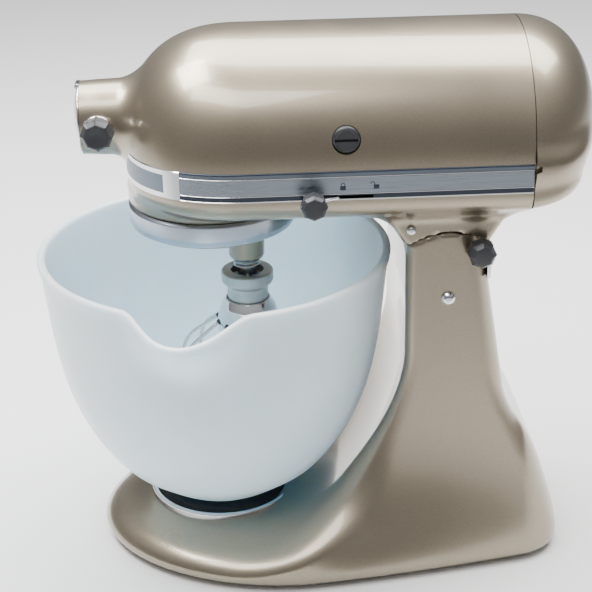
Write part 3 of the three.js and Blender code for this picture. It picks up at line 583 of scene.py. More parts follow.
CARBON = cast("carbon", (0.02, 0.02, 0.022), 0.6, 0.0)
BOARD = cast("circuit_board", (0.03, 0.12, 0.05), 0.5, 0.0, 300, 0.5)
COPPER = striped("copper_turns", (0.45, 0.18, 0.08), (0.62, 0.30, 0.15), 260, "y", 0.35, 0.9)
LAMINATED = striped("laminated_steel", (0.25, 0.25, 0.27), (0.42, 0.42, 0.44), 420, "x", 0.45, 1.0)


# ---------------------------------------------------------------- pedestal
def base_half(x):
    """Half the width of the base at its widest level."""
    front = BASE_HALF * np.sqrt(clamp(1 - ((BASE_WIDEST - x) / (BASE_WIDEST - BASE_FRONT)) ** 2, 0, 1))
    taper = BASE_HALF - 27 * (np.maximum(x - BASE_WIDEST, 0) / 171) ** 1.35
    return np.where(x < BASE_WIDEST, front, taper)


def base_plan(x, y):
    """Distance to the base's outline: half an ellipse in front, tapered sides, and a rounded back."""
    rx, ry = BASE_WIDEST - BASE_FRONT, BASE_HALF
    u, v = (x - BASE_WIDEST) / rx, y / ry
    size = np.maximum(np.hypot(u, v), 1e-6)
    ellipse = size * (size - 1) / np.maximum(np.hypot(u / rx, v / ry), 1e-6)
    slope = 27 * 1.35 / 171 * (np.maximum(x - BASE_WIDEST, 0) / 171) ** 0.35
    sides = (np.abs(y) - base_half(np.maximum(x, BASE_WIDEST))) / np.sqrt(1 + slope ** 2)
    back = round_cross(sides, x - BASE_REAR, 34)
    return np.where(x < BASE_WIDEST, ellipse, back)


def spread(z):
    """How far the column still spreads towards the base: 1 at the table, dying out upwards."""
    return 1 / (1 + (np.maximum(z, 0) / 50) ** 2.2)


def column_front(z):
    return 120 - 66 * np.maximum((150 - z) / 120, 0) ** 1.75


def column_back(x, z):
    """Distance to the column's back: nearly upright, over a flare that swells out to the base's back."""
    upper = x - (188 - 0.158 * (z - 108))
    share = np.maximum(z - 10, 0) / 98
    flare = BASE_REAR - (BASE_REAR - 188) * share ** 1.6
    steep = (BASE_REAR - 188) * 1.6 / 98 * share ** 0.6
    return round_union(upper, (x - flare) / np.sqrt(1 + steep ** 2), 6)


def base_top(plan):
    """Height of the base's top: highest under the bowl, and falling towards the edge."""
    return BASE_TOP - 9 * (1 - ease((-plan - 4) / 44))


def pedestal(x, y, z):
    """The base and its column as one body: sides that sweep in, a top that rises into the column's front."""
    draw_in = (base_half(clamp(x, BASE_WIDEST, 200)) - 56) * ease((x - 10) / 80)
    lean = draw_in * (spread(z + 1) - spread(z - 1)) / 2
    plan = base_plan(x, y)
    side = (plan + draw_in * (1 - spread(z))) / np.sqrt(1 + lean ** 2)
    steep = 66 * 1.75 / 120 * np.maximum((150 - z) / 120, 0) ** 0.75
    dish = 5 * clamp((190 - z) / 60) * clamp(1 - (y / 50) ** 2)
    front = (column_front(z) + dish - x) / np.sqrt(1 + steep ** 2)
    lid = round_union(z - base_top(plan), front, 26)
    body = round_cross(side, lid, 8 + 14 * np.exp(-((z - 50) / 42) ** 2))
    body = round_cross(round_cross(body, column_back(x, z), 14), BOTTOM_Z - z, 8)
    inner = np.maximum(body + 6.5, z - 176)
    top = np.minimum(np.hypot(x - PIN[0], z - PIN[2]) - PARTING_R, z - PIN[2])
    body = np.maximum(round_cross(body, top, 1.2), -inner)
    slot = np.maximum(np.maximum(PIN[0] - 19.7 - x, x - 205), np.maximum(np.abs(y) - 20.8, 185 - z))
    plate_low, plate_high = box("rear_plate")
    seat = np.maximum(np.maximum(plate_low[0] - 0.3 - x, y - plate_high[1] - 0.3), plate_low[2] - 0.3 - z)
    return round_cut(round_cut(body, slot, 1.5), seat, 1.0)


def build_stand():
    low = (BASE_FRONT - 4, -BASE_HALF - 4, BOTTOM_Z - 5)
    high = (BASE_REAR + 4, BASE_HALF + 4, PIN[2] + PARTING_R + 4)
    casting = new_object("pedestal_casting", skin(pedestal, low, high, 2.2))
    sliced(casting, ((0, 0, BOTTOM_Z + 0.05), (0, 0, -1)))
    finished(casting, PAINT, "base", ["pedestal"], 50)
    for node in [n for n in frame["nodes"] if n.startswith("foot_")]:
        low, high = box(node)
        centre = (*(low[:2] + high[:2]) / 2, 0)
        radius, top = (high[0] - low[0]) / 2, high[2]
        pad = [(0, 0, 0), (radius - 1.5, 0, 1), (radius, 1.5, 0.6), (radius - 1, top, 1.2), (0, top, 0)]
        piece(node + "_pad", lathe(rounded(pad, 4), centre=centre), RUBBER, "base", [node])
    radius = box("bowl_clamp_plate")[1][0]
    floor = box("bowl_clamp_plate")[0][2]
    cup = [(0, floor, 0), (radius, floor, 0), (radius, 32, 1.3), (47.2, 32, 1.3), (47.2, floor + 3, 1),
           (0, floor + 3, 0)]
    piece("clamp_ring", lathe(rounded(cup, 6), segments=128), CHROME, "base",
          ["bowl_clamp_plate"])
    pin = lathe(rounded([(0, -2.2, 0), (2.6, -1.9, 3), (4.5, 0, 1), (4.5, 1.4, 0.3), (0, 1.4, 0)]), "y",
                (PIN[0], -58.2, PIN[2]))
    shank = lathe([(0, 0), (4.3, 0), (4.3, 114), (0, 114)], "y", (PIN[0], -57.6, PIN[2]), 32)
    piece("tilt_pin", merged(pin, shank), CHROME, "base", ["hinge_pin"])
    low, high = box("rear_plate")
    piece("knob_plate", brick(low, high, 0.8), CHROME, "base", ["rear_plate"])
    low, high = box("rear_knob")
    radius, length = (high[0] - low[0]) / 2, 13
    outline = rounded([(0, -3, 0), (4, -3, 0), (4, 0, 0), (radius - 1, 0, 1.2), (radius, 2, 1),
                       (radius, 9.5, 2.5),
                       (radius - 2.6, length, 2), (0, length + 0.6, 0)])
    knob = grip(outline, 8, "-y", ((low[0] + high[0]) / 2, high[1] - 5.7, (low[2] + high[2]) / 2))
    piece("rear_knob_grip", knob, BLACK, "rear_knob", ["rear_knob"], 60)


# ---------------------------------------------------------------- head castings
def nose_plan(x, y, power=2.3):
    """Distance to the head's outline seen from above: straight sides that close in a blunt nose."""
    t = np.maximum(NOSE_X - x, 0) / NOSE_REACH
    return HEAD_HALF * ((t ** power + (np.abs(y) / HEAD_HALF) ** power) ** (1 / power) - 1)


def upper_body(x, y, z):
    """Distance to the head's round-topped body."""
    t = np.maximum(NOSE_X - x, 0) / NOSE_REACH
    side, up = np.abs(y) / HEAD_HALF, np.maximum(z - SHOULDER_Z, 0) / HEAD_HALF
    reach = np.hypot(side, up)
    power = 2.3 + 0.15 * (up / np.maximum(reach, 1e-3)) ** 2
    return HEAD_HALF * ((t ** power + reach ** power) ** (1 / power) - 1)


def hub_barrel(x, y, z):
    flared = HUB_RADIUS + 0.6 * ease((x - HUB_FRONT) / 14) + 0.8 * ease((x - HUB_FRONT - 12) / 25)
    radial = np.hypot(y, z - HUB_Z) - flared
    return np.maximum(radial, x - 5)


def motor_housing(x, y, z):
    body = upper_body(x, y, z)
    radial = np.hypot(y, z - HUB_Z)
    shell = round_union(body, hub_barrel(x, y, z), 9)
    shell = np.maximum(shell, -(body + WALL))
    bore = np.maximum(radial - 17, x - HUB_FRONT - 20)
    shaft = np.maximum(radial - 9, x + 20)
    return np.maximum(shell, -np.minimum(bore, shaft))


def outline_distance(u, v, outline):
    """Signed distance in a plane to a closed outline, negative inside."""
    nearest, inside = np.inf, False
    for (au, av), (bu, bv) in zip(outline, outline[1:] + outline[:1]):
        eu, ev = bu - au, bv - av
        share = clamp(((u - au) * eu + (v - av) * ev) / (eu * eu + ev * ev))
        nearest = np.minimum(nearest, (u - au - eu * share) ** 2 + (v - av - ev * share) ** 2)
        if av != bv:
            inside = inside ^ (((av > v) != (bv > v)) & (u < eu * (v - av) / ev + au))
    return np.where(inside, -1, 1) * np.sqrt(nearest)


NECK = [(94, 264), (94, 249), (102, 246), (111, 237.5), (118.6, 226), (146, 213), (171.4, 226),
        (180, 240), (190, 248.5),
        (192, 264)]
WEB = [(133, 189), (127, 236), (168, 236), (160, 189)]
LUG_HALF = 20.0


def gearbox_housing(x, y, z):
    radial = np.hypot(x, y)
    body = round_cross(nose_plan(x, y), KEEL_Z - z, 16)
    boss = round_cross(round_cross(radial - BOSS_R, 243 - z, 2.5), z - 257, 4)
    body = round_union(body, boss, 6)
    neck = round_cross(outline_distance(x, z, NECK), np.abs(y) - NECK_HALF, 4)
    body = round_union(body, neck, 9)
    about_pin = np.hypot(x - PIN[0], z - PIN[2])
    body = round_cut(body, about_pin - PARTING_R - 0.6, 0.8)
    web = np.maximum(np.minimum(outline_distance(x, z, WEB), about_pin - 14), np.abs(y) - LUG_HALF)
    skirt = np.maximum(radial - 50.4, np.maximum(229.5 - z, z - 256))
    body = np.minimum(np.minimum(body, web), skirt)
    room = round_cross(nose_plan(x, y) + WALL, KEEL_Z + WALL - z, 13)
    pocket = np.maximum(radial - 45, z - 241)
    bore = np.maximum(radial - 9, z - 262)
    return np.maximum(body, -np.minimum(np.minimum(room, pocket), bore))


def rear_cover(x, y, z):
    def grown(inset):
        t = np.maximum(x - SEAM_X, 0) / (REAR_X - SEAM_X - inset)
        middle = SHOULDER_Z + 9 * t ** 2
        up = (z - middle) / np.where(z > middle, HEAD_HALF - inset, 26 - inset)
        side = np.abs(y) / (HEAD_HALF - inset)
        reach = np.hypot(side, up)
        dome = (HEAD_HALF - inset) * ((t ** 2.15 + reach ** 2.15) ** (1 / 2.15) - 1)
        s = np.maximum(x - SEAM_X, 0) / (38.5 - inset)
        plan = (HEAD_HALF - inset) * ((s ** 3.4 + side ** 3.4) ** (1 / 3.4) - 1)
        sill = KEEL_Z + 3 + 9 * (np.maximum(x - SEAM_X, 0) / 34) ** 1.3
        skirt = round_cross(round_cross(plan, sill + inset - z, 9 - inset / 2), z - middle - 2, 3)
        return round_union(dome, skirt, 14)
    return np.maximum(grown(0.0), -grown(3.5))


def level_rod(radius, low, high, axis, centre, segments=48):
    return lathe([(0, low), (radius, low), (radius, high), (0, high)], axis, centre, segments)


def build_head():
    top = SHOULDER_Z + HEAD_HALF
    motor = new_object("motor_casting", skin(motor_housing, (HUB_FRONT - 8, -HEAD_HALF - 4, SPLIT_Z - 5),
                                             (SEAM_X + 5, HEAD_HALF + 4, top + 4), 2.0))
    sliced(motor, ((0, 0, SPLIT_Z + 0.15), (0, 0, -1)), ((SEAM_X, 0, 0), (1, 0, 0)),
           ((HUB_FRONT, 0, 0), (-1, 0, 0)))
    cap = box("brush_cap_right")
    cap_x, cap_z = (cap[0][0] + cap[1][0]) / 2, (cap[0][2] + cap[1][2]) / 2
    carved(motor, level_rod(8.6, -90, 90, "y", (cap_x, 0, cap_z)))
    finished(motor, PAINT, "head", ["motor_housing"], 50)

    gearbox = new_object("gearbox_casting", skin(gearbox_housing, (-60, -HEAD_HALF - 4, PIN[2] - 18),
                                                 (SEAM_X + 5, HEAD_HALF + 4, SPLIT_Z + 5), 2.0))
    sliced(gearbox, ((0, 0, SPLIT_Z - 0.15), (0, 0, 1)), ((SEAM_X, 0, 0), (1, 0, 0)))
    carved(gearbox, lever_slot(-1), lever_slot(1))
    finished(gearbox, PAINT, "head", ["gearbox_housing"], 50)

    cover = new_object("rear_cover_casting", skin(rear_cover, (SEAM_X - 6, -HEAD_HALF - 4, KEEL_Z - 4),
                                                  (REAR_X + 4, HEAD_HALF + 4, top + 4), 2.0))
    sliced(cover, ((SEAM_X + 0.5, 0, 0), (-1, 0, 0)))
    finished(cover, PAINT, "head", ["rear_cover"], 50)


def head_outline(grow):
    """Points round the head seen from above, from the seam round the nose and back, grown outwards."""
    angles = np.linspace(-math.pi / 2, math.pi / 2, 121)
    share = np.abs(np.sin(angles)) ** (2 / 2.3) * np.sign(np.sin(angles)), np.abs(np.cos(angles)) ** (2 / 2.3)
    nose = np.stack([NOSE_X - NOSE_REACH * share[1], HEAD_HALF * share[0]], axis=1)
    back = np.linspace(SEAM_X - 0.3, NOSE_X, 24)[:-1]
    near = np.stack([back, np.full(len(back), -HEAD_HALF)], axis=1)
    far = near[::-1] * (1, -1)
    line = np.vstack([near, nose, far])
    ahead = np.gradient(line, axis=0)
    ahead /= np.linalg.norm(ahead, axis=1)[:, None]
    outward = np.stack([-ahead[:, 1], ahead[:, 0]], axis=1)
    outward *= np.sign((outward * (line - (80, 0))).sum(axis=1))[:, None]
    return line + outward * grow


def band_strip(low, high, proud, sunk=1.3, edge=0.25):
    """One flat strip of the trim band, wrapped round the head."""
    outer, inner = head_outline(proud), head_outline(-sunk)
    soft, lip = head_outline(proud - edge), [low + edge, high - edge]
    levels = [(inner, low), (soft, low), (outer, lip[0]), (outer, lip[1]), (soft, high), (inner, high)]
    rings = [np.column_stack([line, np.full(len(line), z)]) for line, z in levels]
    across = np.stack(rings, axis=1)
    return loft([ring for ring in across])


def lever_slot(side):
    """The slot that a lever slides in: as long as the lever's travel, and a little higher than its blade."""
    name = "lock_lever" if side < 0 else "speed_lever"
    low, high = box(name)
    ends = sorted((side * 60, side * 80))
    travel = JOINTS["lock_slide" if side < 0 else "speed_slide"]["range_m"][1] / MM
    return brick((low[0] - 0.8, ends[0], low[2] - 0.3), (high[0] + travel + 0.8, ends[1], high[2] + 0.3),
                 0.3)


def padlock(x, z, opened):
    """A small padlock sign, printed on the band: a body and a shackle, closed or swung open."""
    y = -HEAD_HALF - 0.55
    body = brick((x - 1.7, y - 0.12, z - 2.2), (x + 1.7, y + 0.3, z + 0.4), 0.2)
    shift = -2.3 if opened else 0
    angles = np.linspace(0, math.pi, 13)
    bend = [(x + shift + 1.15 * math.cos(a), y, z + 1.1 + 1.15 * math.sin(a)) for a in angles]
    arch = [(x + shift + 1.15, y, z + 0.2), *bend, (x + shift - 1.15, y, z + (1.1 if opened else 0.2))]
    return merged(body, tube(arch, 0.24))


FRONT_PLATE_X = -19.0


def build_band():
    """The trim band: bright metal round the nose, and brushed strips along the sides.

    The sides have a dark stripe below, a greyer one above, and bright lines between them."""
    line, hair = 0.9, 0.35
    stripe_low = BAND_LOW + line + 2.9
    stripe_high = BAND_HIGH - line - 2.6
    strips = [
        ("band_line_low", BAND_LOW, BAND_LOW + line, 0.6, CHROME, "chrome"),
        ("band_stripe_low", BAND_LOW + line, stripe_low, 0.15, BAND_DARK, "band"),
        ("band_hair_low", stripe_low, stripe_low + hair, 0.6, CHROME, "chrome"),
        ("band_face", stripe_low + hair, stripe_high - hair, 0.45, BAND, "band"),
        ("band_hair_high", stripe_high - hair, stripe_high, 0.6, CHROME, "chrome"),
        ("band_stripe_high", stripe_high, BAND_HIGH - line, 0.15, BAND_GREY, "band"),
        ("band_line_high", BAND_HIGH - line, BAND_HIGH, 0.5, BAND_DARK, "band"),
    ]
    for name, low, high, proud, material, slot in strips:
        strip = new_object(name, band_strip(low, high, proud))
        sliced(strip, ((FRONT_PLATE_X + 0.2, 0, 0), (-1, 0, 0)))
        if low < BAND_LOW + 3.4:
            carved(strip, lever_slot(-1), lever_slot(1))
        finished(strip, material, "head", ["trim_band"])
    front = new_object("band_front", band_strip(BAND_LOW, BAND_HIGH, 0.5, edge=0.5))
    sliced(front, ((FRONT_PLATE_X, 0, 0), (1, 0, 0)))
    finished(front, CHROME, "head", ["trim_band"])
    raised = new_object("band_front_plate", band_strip(BAND_LOW + 3.4, BAND_HIGH - 3.2, 0.6))
    sliced(raised, ((FRONT_PLATE_X - 10, 0, 0), (1, 0, 0)))
    finished(raised, BAND_GREY, "head")
    middle = (BAND_LOW + BAND_HIGH) / 2
    signs = merged(padlock(78.5, middle - 0.6, False), padlock(98.6, middle - 0.2, True))
    piece("padlock_signs", signs, BAND_DARK, "head")


def build_head_trim():
    outer = box("drip_ring")[1][0]
    low, high = box("drip_ring")[0][2], box("drip_ring")[1][2]
    section = rounded([(50.7, low + 1, 1), (51.7, low, 1.2), (outer - 1.6, low, 2), (outer, low + 4, 3),
                       (outer, high - 1.5, 1.4),
                       (outer - 1.6, high, 1), (50.7, high, 0.4)], 6, closed=True)
    piece("drip_guard", lathe(section, closed=True, segments=160), RING, "head", ["drip_ring"])
    low, high = box("ear_screw")
    centre = ((low[0] + high[0]) / 2, low[1] + 1.4, (low[2] + high[2]) / 2)
    head = lathe(rounded([(0, -1.4, 0), (2.0, -1.2, 2), (3, 0, 0.8), (3, 0.8, 0), (0, 0.8, 0)]), "y",
                 centre, 40)
    piece("ear_screw_head", head, CHROME, "head", ["ear_screw"])
    low, high = box("rear_cover_screw")
    centre = (high[0] - 1.6, 0, (low[2] + high[2]) / 2)
    screw = lathe(rounded([(0, -9, 0), (2.2, -9, 0), (2.2, 0, 0), (4.2, 0, 0.3), (4, 1.2, 0.8),
                           (0, 1.6, 0)]), "x", centre, 40)
    piece("cover_screw_head", screw, CHROME, "head", ["rear_cover_screw"])
    for side, sign in (("right", -1), ("left", 1)):
        low, high = box("brush_cap_" + side)
        radius = (high[0] - low[0]) / 2
        outline = rounded([(0, -10, 0), (radius, -10, 0), (radius, -0.9, 0.8), (radius - 1.2, 0, 0.8),
                           (radius - 2, -0.5, 0.3),
                           (0, -0.5, 0)])
        face = high[1] if sign > 0 else low[1]
        centre = ((low[0] + high[0]) / 2, face, (low[2] + high[2]) / 2)
        obj = new_object("brush_cap_disc_" + side, lathe(outline, "y" if sign > 0 else "-y", centre, 72))
        wide, thick = radius - 1.2, 0.9
        ends = sorted((face - sign * 2.2, face + sign * 3))
        carved(obj, brick((centre[0] - wide, ends[0], centre[2] - thick),
                          (centre[0] + wide, ends[1], centre[2] + thick), 0.2))
        finished(obj, BLACK, "head", ["brush_cap_" + side])


def build_hub():
    low, high = box("hub_cover")
    radius = high[1]
    hinge = local(JOINTS["hub_cover_swing"]["pos_m"])
    cap = rounded([(0, 0, 0), (radius - 8, 0.7, 16), (radius - 2.2, 2.4, 5), (radius, 3.2, 0.6),
                   (radius, 4.2, 0.3), (0, 4.2, 0)])
    disc = lathe(cap, "x", (low[0], 0, HUB_Z), 128)
    barrel = lathe(rounded([(0, -5, 0), (1.9, -5, 0.4), (1.9, 5, 0.4), (0, 5, 0)]), "y", tuple(hinge), 32)
    piece("hub_cap", merged(disc, barrel), CHROME, "hub_cover", ["hub_cover"])
    low, high = box("attachment_knob")
    radius = (high[0] - low[0]) / 2
    centre_x, centre_z = (high[0] + low[0]) / 2, (high[2] + low[2]) / 2
    length = 14
    outline = rounded([(0, -3, 0), (3.6, -3, 0), (3.6, 0, 0), (radius - 1.6, 0, 1), (radius, 3, 1.6),
                       (radius, 9.5, 2.4),
                       (radius - 2.6, length, 1.8), (2, length - 0.8, 2), (0, length - 0.8, 0)])
    knob = grip(outline, 8, "-y", (centre_x, low[1] + length, centre_z))
    piece("attachment_knob_grip", knob, BLACK, "attachment_knob", ["attachment_knob"], 60)
    rim = [(0, 0, 0), (radius - 1.4, 0, 0.6), (radius - 1.4, 2.4, 1), (0, 2.4, 0)]
    seat = lathe(rounded(rim), "-y", (centre_x, low[1] + length + 2.2, centre_z), 64)
    stem = level_rod(3.4, -8, 2, "-y", (centre_x, low[1] + length, centre_z), 32)
    piece("attachment_knob_seat", merged(seat, stem), CHROME, "attachment_knob")


def build_levers():
    """The lock lever on the near side and the speed lever on the far side, each a blade with a knob."""
    for name, sign in (("lock", -1), ("speed", 1)):
        low, high = box(name + "_lever")
        x = (low[0] + high[0]) / 2
        reach = high[1] if sign > 0 else -low[1]
        start = low[0]
        x = start + 6
        outline = rounded([(start, 58, 0), (high[0], 58, 0), (high[0], 74.4, 0.8), (x + 5, 79.8, 2),
                           (x + 3, reach, 1.5), (x - 3, reach, 1.5),
                           (start, reach - 3, 1.5)], 4, closed=True) * (1, sign)
        piece(name + "_blade", plate(outline, low[2], high[2]), CHROME, name + "_lever",
              [name + "_lever"])
        low, high = box(name + "_knob")
        radius = (high[0] - low[0]) / 2
        far = high[1] if sign > 0 else -low[1]
        outline = rounded([(0, 0, 0), (radius - 2, 0, 1), (radius, 2.6, 1.4), (radius, 9.6, 2),
                           (radius - 1.8, 12.1, 1.4),
                           (0, 12.3, 0)])
        centre = (x, sign * (far - 12.3), (low[2] + high[2]) / 2)
        knob = grip(outline, 8, "y" if sign > 0 else "-y", centre)
        piece(name + "_knob_grip", knob, BLACK, name + "_lever", [name + "_knob"], 60)


# ---------------------------------------------------------------- planetary, whisk and bowl
def build_planetary():
    low, high = box("planetary_hub")
    disc = lathe(rounded([(0, 221.5, 0), (36, 221.5, 8), (48, 225, 2), (49, 228.7, 0.6), (0, 228.7, 0)]),
                 segments=128)
    sleeve = lathe(rounded([(0, low[2], 0), (11.2, low[2], 0.5), (11.9, low[2] + 2, 1), (11.9, 214, 6),
                            (17, 222.5, 3), (0, 223, 0)]),
                   centre=(OFFSET, 0, 0), segments=72)
    piece("planetary_casting", merged(disc, sleeve), PAINT, "planetary", ["planetary_hub"])
    low, high = box("beater_shaft")
    shaft = lathe(rounded([(0, low[2], 0), (5.2, low[2], 0.5), (6, low[2] + 1.5, 0.5), (6, 229, 0.3),
                           (5.2, 229.4, 0.3),
                           (5.2, high[2], 0.6), (0, high[2], 0)]), centre=(OFFSET, 0, 0), segments=48)
    piece("beater_spindle", shaft, STEEL, "beater", ["beater_shaft"])
    low, high = box("beater_pin")
    z = (low[2] + high[2]) / 2
    pin = lathe(rounded([(0, low[1], 0), (1.6, low[1], 0.5), (1.6, high[1], 0.5), (0, high[1], 0)]), "y",
                (OFFSET, 0, z), 32)
    piece("drive_pin", pin, STEEL, "beater", ["beater_pin"])
    low, high = box("shaft_spring")
    turns = 2.5
    angles = np.linspace(0, 2 * math.pi * turns, 121)
    radius = (high[1] - low[1]) / 2 - 0.8
    rise = low[2] + 0.8 + (high[2] - low[2] - 1.6) * angles / angles[-1]
    coil = np.stack([OFFSET + radius * np.cos(angles), radius * np.sin(angles), rise], axis=1)
    piece("spindle_spring", tube(coil, 0.75), STEEL, "beater", ["shaft_spring"])


LEG = [(21.6, 154), (30, 148), (42, 138), (47.5, 124), (47, 108), (41, 88)]


def wire_loop(index):
    low = 45 + 3 * index
    leg = LEG + [(30, 68 + index), (16, low + 5 + index * 0.5)]
    turn = math.radians(30 * index + 15)
    profile = [(17.5, 156.5)] + leg + [(0, low)] + [(-r, z) for r, z in reversed(leg)] + [(-17.5, 156.5)]
    line = through(profile, 7)
    points = np.stack([OFFSET + line[:, 0] * math.cos(turn), line[:, 0] * math.sin(turn), line[:, 1]],
                      axis=1)
    return tube(points, 1.2)


def build_whisk():
    low, high = box("whisk_hub")
    neck = rounded([(6.4, low[2], 0), (13.2, low[2], 0.6), (13.6, 179.5, 3), (16.6, 182, 2),
                    (17.3, 183.6, 1.2), (17.3, high[2] - 1.1, 1),
                    (16.3, high[2], 1), (10.8, high[2], 0.6), (10.8, 185, 0.5), (6.4, 185, 0.5)], 6,
                    closed=True)
    body = new_object("whisk_collar", lathe(neck, centre=(OFFSET, 0, 0), closed=True, segments=96))
    carved(body, brick((OFFSET - 2.4, -13.4, 181), (OFFSET + 2.4, 13.4, 195), 0.3))
    finished(body, CAST_GREY, "whisk", ["whisk_hub"])
    dome = rounded([(0, 144, 0), (18.6, 144, 2), (21, 147, 2), (20.8, 156, 6), (18.4, 165, 6),
                    (15, 170.5, 1), (13.9, 170.5, 0.3),
                    (13.9, 160.2, 0), (0, 160.2, 0)], 7)
    cap = new_object("whisk_dome", lathe(dome, centre=(OFFSET, 0, 0), segments=96))
    finished(cap, CHROME, "whisk", ["whisk_cap"])
    grommets = []
    for turn in np.radians(30 * np.arange(12) + 15):
        outward = np.array((math.cos(turn), math.sin(turn), 0))
        start = np.array((OFFSET, 0, 155)) + outward * 19.6
        grommets.append(tube([start, start + (outward + (0, 0, -0.7)) * 1.0,
                              start + (outward + (0, 0, -0.7)) * 1.7], 2.2))
    piece("whisk_grommets", merged(*grommets), BLACK, "whisk")
    for index in range(6):
        piece(f"whisk_wire_{index + 1}", wire_loop(index), WIRE, "whisk",
              [f"whisk_loop_{index + 1}"])


SPOUT_ANGLE, SPOUT_HALF, SPOUT_REACH, SPOUT_DIP = -99.5, 21.5, 29.4, 6.0
OUTSIDE = [(36, 33.4), (41.6, 37), (48.9, 42), (59.4, 50), (71.3, 60), (82.8, 75), (93.7, 95),
           (102.6, 120), (108.5, 150),
           (111.8, 180), (113.4, 196), (115.2, 203.5)]
INSIDE = [(109.4, 200), (106.6, 180), (103.4, 150), (97.2, 121), (88.4, 97.5), (78, 78), (66.8, 63.8),
          (56, 54.6),
          (46.5, 48.2), (38, 42.6)]


def poured(radius, angle, z):
    """Draws the rim out into a pouring spout."""
    off = np.abs((np.degrees(angle) - SPOUT_ANGLE + 540) % 360 - 180) / SPOUT_HALF
    share = np.where(off < 1, np.cos(off * math.pi / 2) ** 2, 0) * ease((z - 150) / 59) ** 1.5
    out = radius + SPOUT_REACH * share
    return np.stack([out * np.cos(angle), out * np.sin(angle), z - SPOUT_DIP * share], axis=1)


def build_bowl():
    rim = rounded([OUTSIDE[-1] + (0,), (116.0, 208.9, 2.6), (110.4, 208.7, 2.6), INSIDE[0] + (0,)], 7)
    outline = [(0, 33.4), *through(OUTSIDE, 7)[:-1], *rim, *through(INSIDE, 7)[1:], (0, 39.4)]
    angles = np.arange(224) * 2 * math.pi / 224
    rings = [poured(r, angles, z + 0 * angles) if r > 0 else np.array([(0, 0, z)] * 224) for r,
             z in outline]
    path = [(100.5, 124), (108, 119.6), (118, 117.4), (128, 124), (133.2, 146), (134.2, 168), (130, 184),
            (121, 191), (110.5, 189.5)]
    turn = math.radians(80.5)
    line = through(path, 8)
    strap = np.stack([line[:, 0] * math.cos(turn), line[:, 0] * math.sin(turn), line[:, 1]], axis=1)
    angle = np.arange(24) * 2 * math.pi / 24
    section = np.stack([11 * np.cos(angle), 4.8 * np.sin(angle)], axis=1)
    piece("glass_bowl", merged(loft(rings), tube(strap, section)), GLASS, "bowl", ["bowl"], 60)
    low, high = box("bowl_foot")
    radius = high[0]
    foot = rounded([(0, low[2], 0), (radius - 0.8, low[2], 0.8), (radius, low[2] + 1.3, 0.5),
                    (radius, 31, 1), (44, 33, 0.6),
                    (0, 33.2, 0)])
    piece("bowl_base_ring", lathe(foot, segments=128), RUBBER, "bowl", ["bowl_foot"])


# ---------------------------------------------------------------- carried-over CAD nodes
def coat_cad_nodes():
    """The hidden working parts keep their CAD shapes and get procedural materials."""
    looks = {
        "clamp_screw_1": STEEL, "clamp_screw_2": STEEL, "clamp_screw_3": STEEL, "height_screw": STEEL,
        "brush_right": CARBON, "brush_left": CARBON, "stator": LAMINATED, "armature": COPPER,
        "motor_shaft": GEAR_STEEL, "cooling_fan": BLACK, "bearing_front": BRASS, "bearing_rear": BRASS,
        "bracket_front": CAST_GREY, "bracket_rear": CAST_GREY, "control_board": BOARD, "worm_wheel": BRASS,
        "centre_shaft": GEAR_STEEL, "hub_pinion": GEAR_STEEL, "attachment_socket": STEEL,
        "ring_gear": GEAR_STEEL,
        "planet_pinion": GEAR_STEEL,
    }
    for node, material in looks.items():
        mesh = frame["nodes"][node].data
        mesh.materials.clear()
        mesh.materials.append(material)


# ---------------------------------------------------------------- floor, lights and camera
def build_floor():
    """A pale floor, a little greyer towards the front so that the sides don't mirror a bright one."""
    bpy.ops.mesh.primitive_plane_add(size=8, location=(0, 0, 0))
    floor = bpy.context.object
    floor.name = "floor"
    made = principled("floor", (0.93, 0.93, 0.92), 0.7)
    nodes = made.node_tree.nodes
    place = nodes.new("ShaderNodeTexCoord")
    split = nodes.new("ShaderNodeSeparateXYZ")
    link(made, place.outputs["Object"], split.inputs["Vector"])
    fade = spread_out(made, split.outputs["Y"], 0, 1, -0.42, -0.13)
    colored(made, fade, (0.40, 0.40, 0.40), (0.95, 0.95, 0.945))
    roughened(made, noise(made, 3), 0.65, 0.75)
    floor.data.materials.append(made)


def area_light(name, place, target, size, power, color=(1, 1, 1)):
    data = bpy.data.lights.new(name, "AREA")
    data.shape = "RECTANGLE"
    data.size, data.size_y = size
    data.energy = power
    data.color = color
    obj = bpy.data.objects.new(name, data)
    bpy.context.scene.collection.objects.link(obj)
    obj.location = place
    direction = Vector(target) - Vector(place)
    obj.rotation_euler = direction.to_track_quat("-Z", "Y").to_euler()


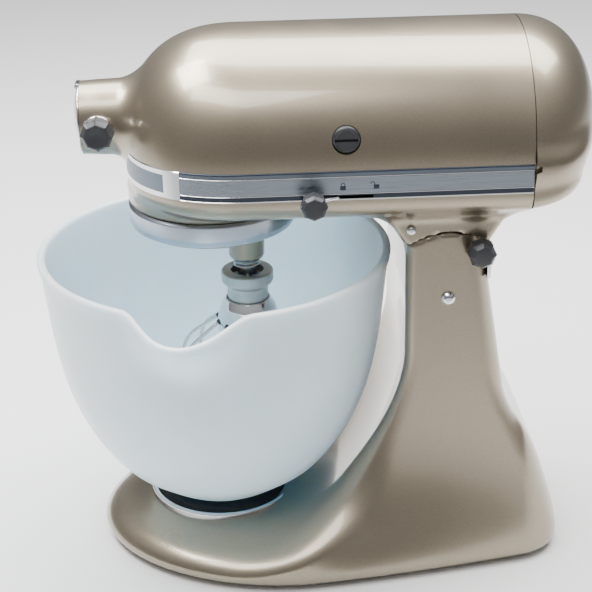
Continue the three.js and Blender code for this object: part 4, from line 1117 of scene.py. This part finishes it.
def build_lights():
    """Soft lamps over a sky that is bright overhead and dim at the horizon."""
    world = bpy.data.worlds.new("studio")
    bpy.context.scene.world = world
    world.use_nodes = True
    nodes, links = world.node_tree.nodes, world.node_tree.links
    place = nodes.new("ShaderNodeTexCoord")
    split = nodes.new("ShaderNodeSeparateXYZ")
    ramp = nodes.new("ShaderNodeValToRGB")
    links.new(place.outputs["Generated"], split.inputs["Vector"])
    links.new(split.outputs["Z"], ramp.inputs["Fac"])
    links.new(ramp.outputs["Color"], nodes["Background"].inputs["Color"])
    stops = ramp.color_ramp.elements
    stops[0].position, stops[0].color = 0.0, (0.30, 0.30, 0.30, 1)
    stops[1].position, stops[1].color = 0.9, (1, 1, 1, 1)
    middle = stops.new(0.35)
    middle.color = (0.34, 0.35, 0.37, 1)
    nodes["Background"].inputs["Strength"].default_value = 0.7
    area_light("overhead", (0.15, 0.3, 1.4), (0, 0, 0.2), (1.7, 0.75), 48)
    area_light("key", (-0.62, 0.02, 1.4), (0, 0, 0.2), (0.6, 0.5), 22)
    area_light("fill", (-0.35, -0.6, 1.35), (-0.05, 0, 0.25), (0.9, 0.35), 9)


CAMERA = {"azimuth": 2.96, "elevation": 24.44, "roll": 1.02, "distance": 0.98797, "lens": 89.73}
TARGET_MM = (53.06, 0.0, 168.91)


def build_camera():
    azimuth, elevation = math.radians(CAMERA["azimuth"]), math.radians(CAMERA["elevation"])
    roll = math.radians(CAMERA["roll"])
    back = Vector((-math.sin(azimuth) * math.cos(elevation), -math.cos(azimuth) * math.cos(elevation),
                   math.sin(elevation)))
    target = Vector(np.array(TARGET_MM) * MM + BOWL_AXIS)
    right = (-back).cross(Vector((0, 0, 1))).normalized()
    up = right.cross(-back)
    side = right * math.cos(roll) - up * math.sin(roll)
    head = right * math.sin(roll) + up * math.cos(roll)
    data = bpy.data.cameras.new("camera")
    data.lens = CAMERA["lens"]
    data.sensor_width = 36
    data.clip_start, data.clip_end = 0.05, 20
    camera = bpy.data.objects.new("camera", data)
    bpy.context.scene.collection.objects.link(camera)
    matrix = Matrix((side, head, back)).transposed().to_4x4()
    matrix.translation = target + back * CAMERA["distance"]
    camera.matrix_world = matrix
    bpy.context.scene.camera = camera


build_camera()
build_stand()
build_head()
build_band()
build_head_trim()
build_hub()
build_levers()
build_planetary()
build_whisk()
build_bowl()
coat_cad_nodes()
build_floor()
build_lights()
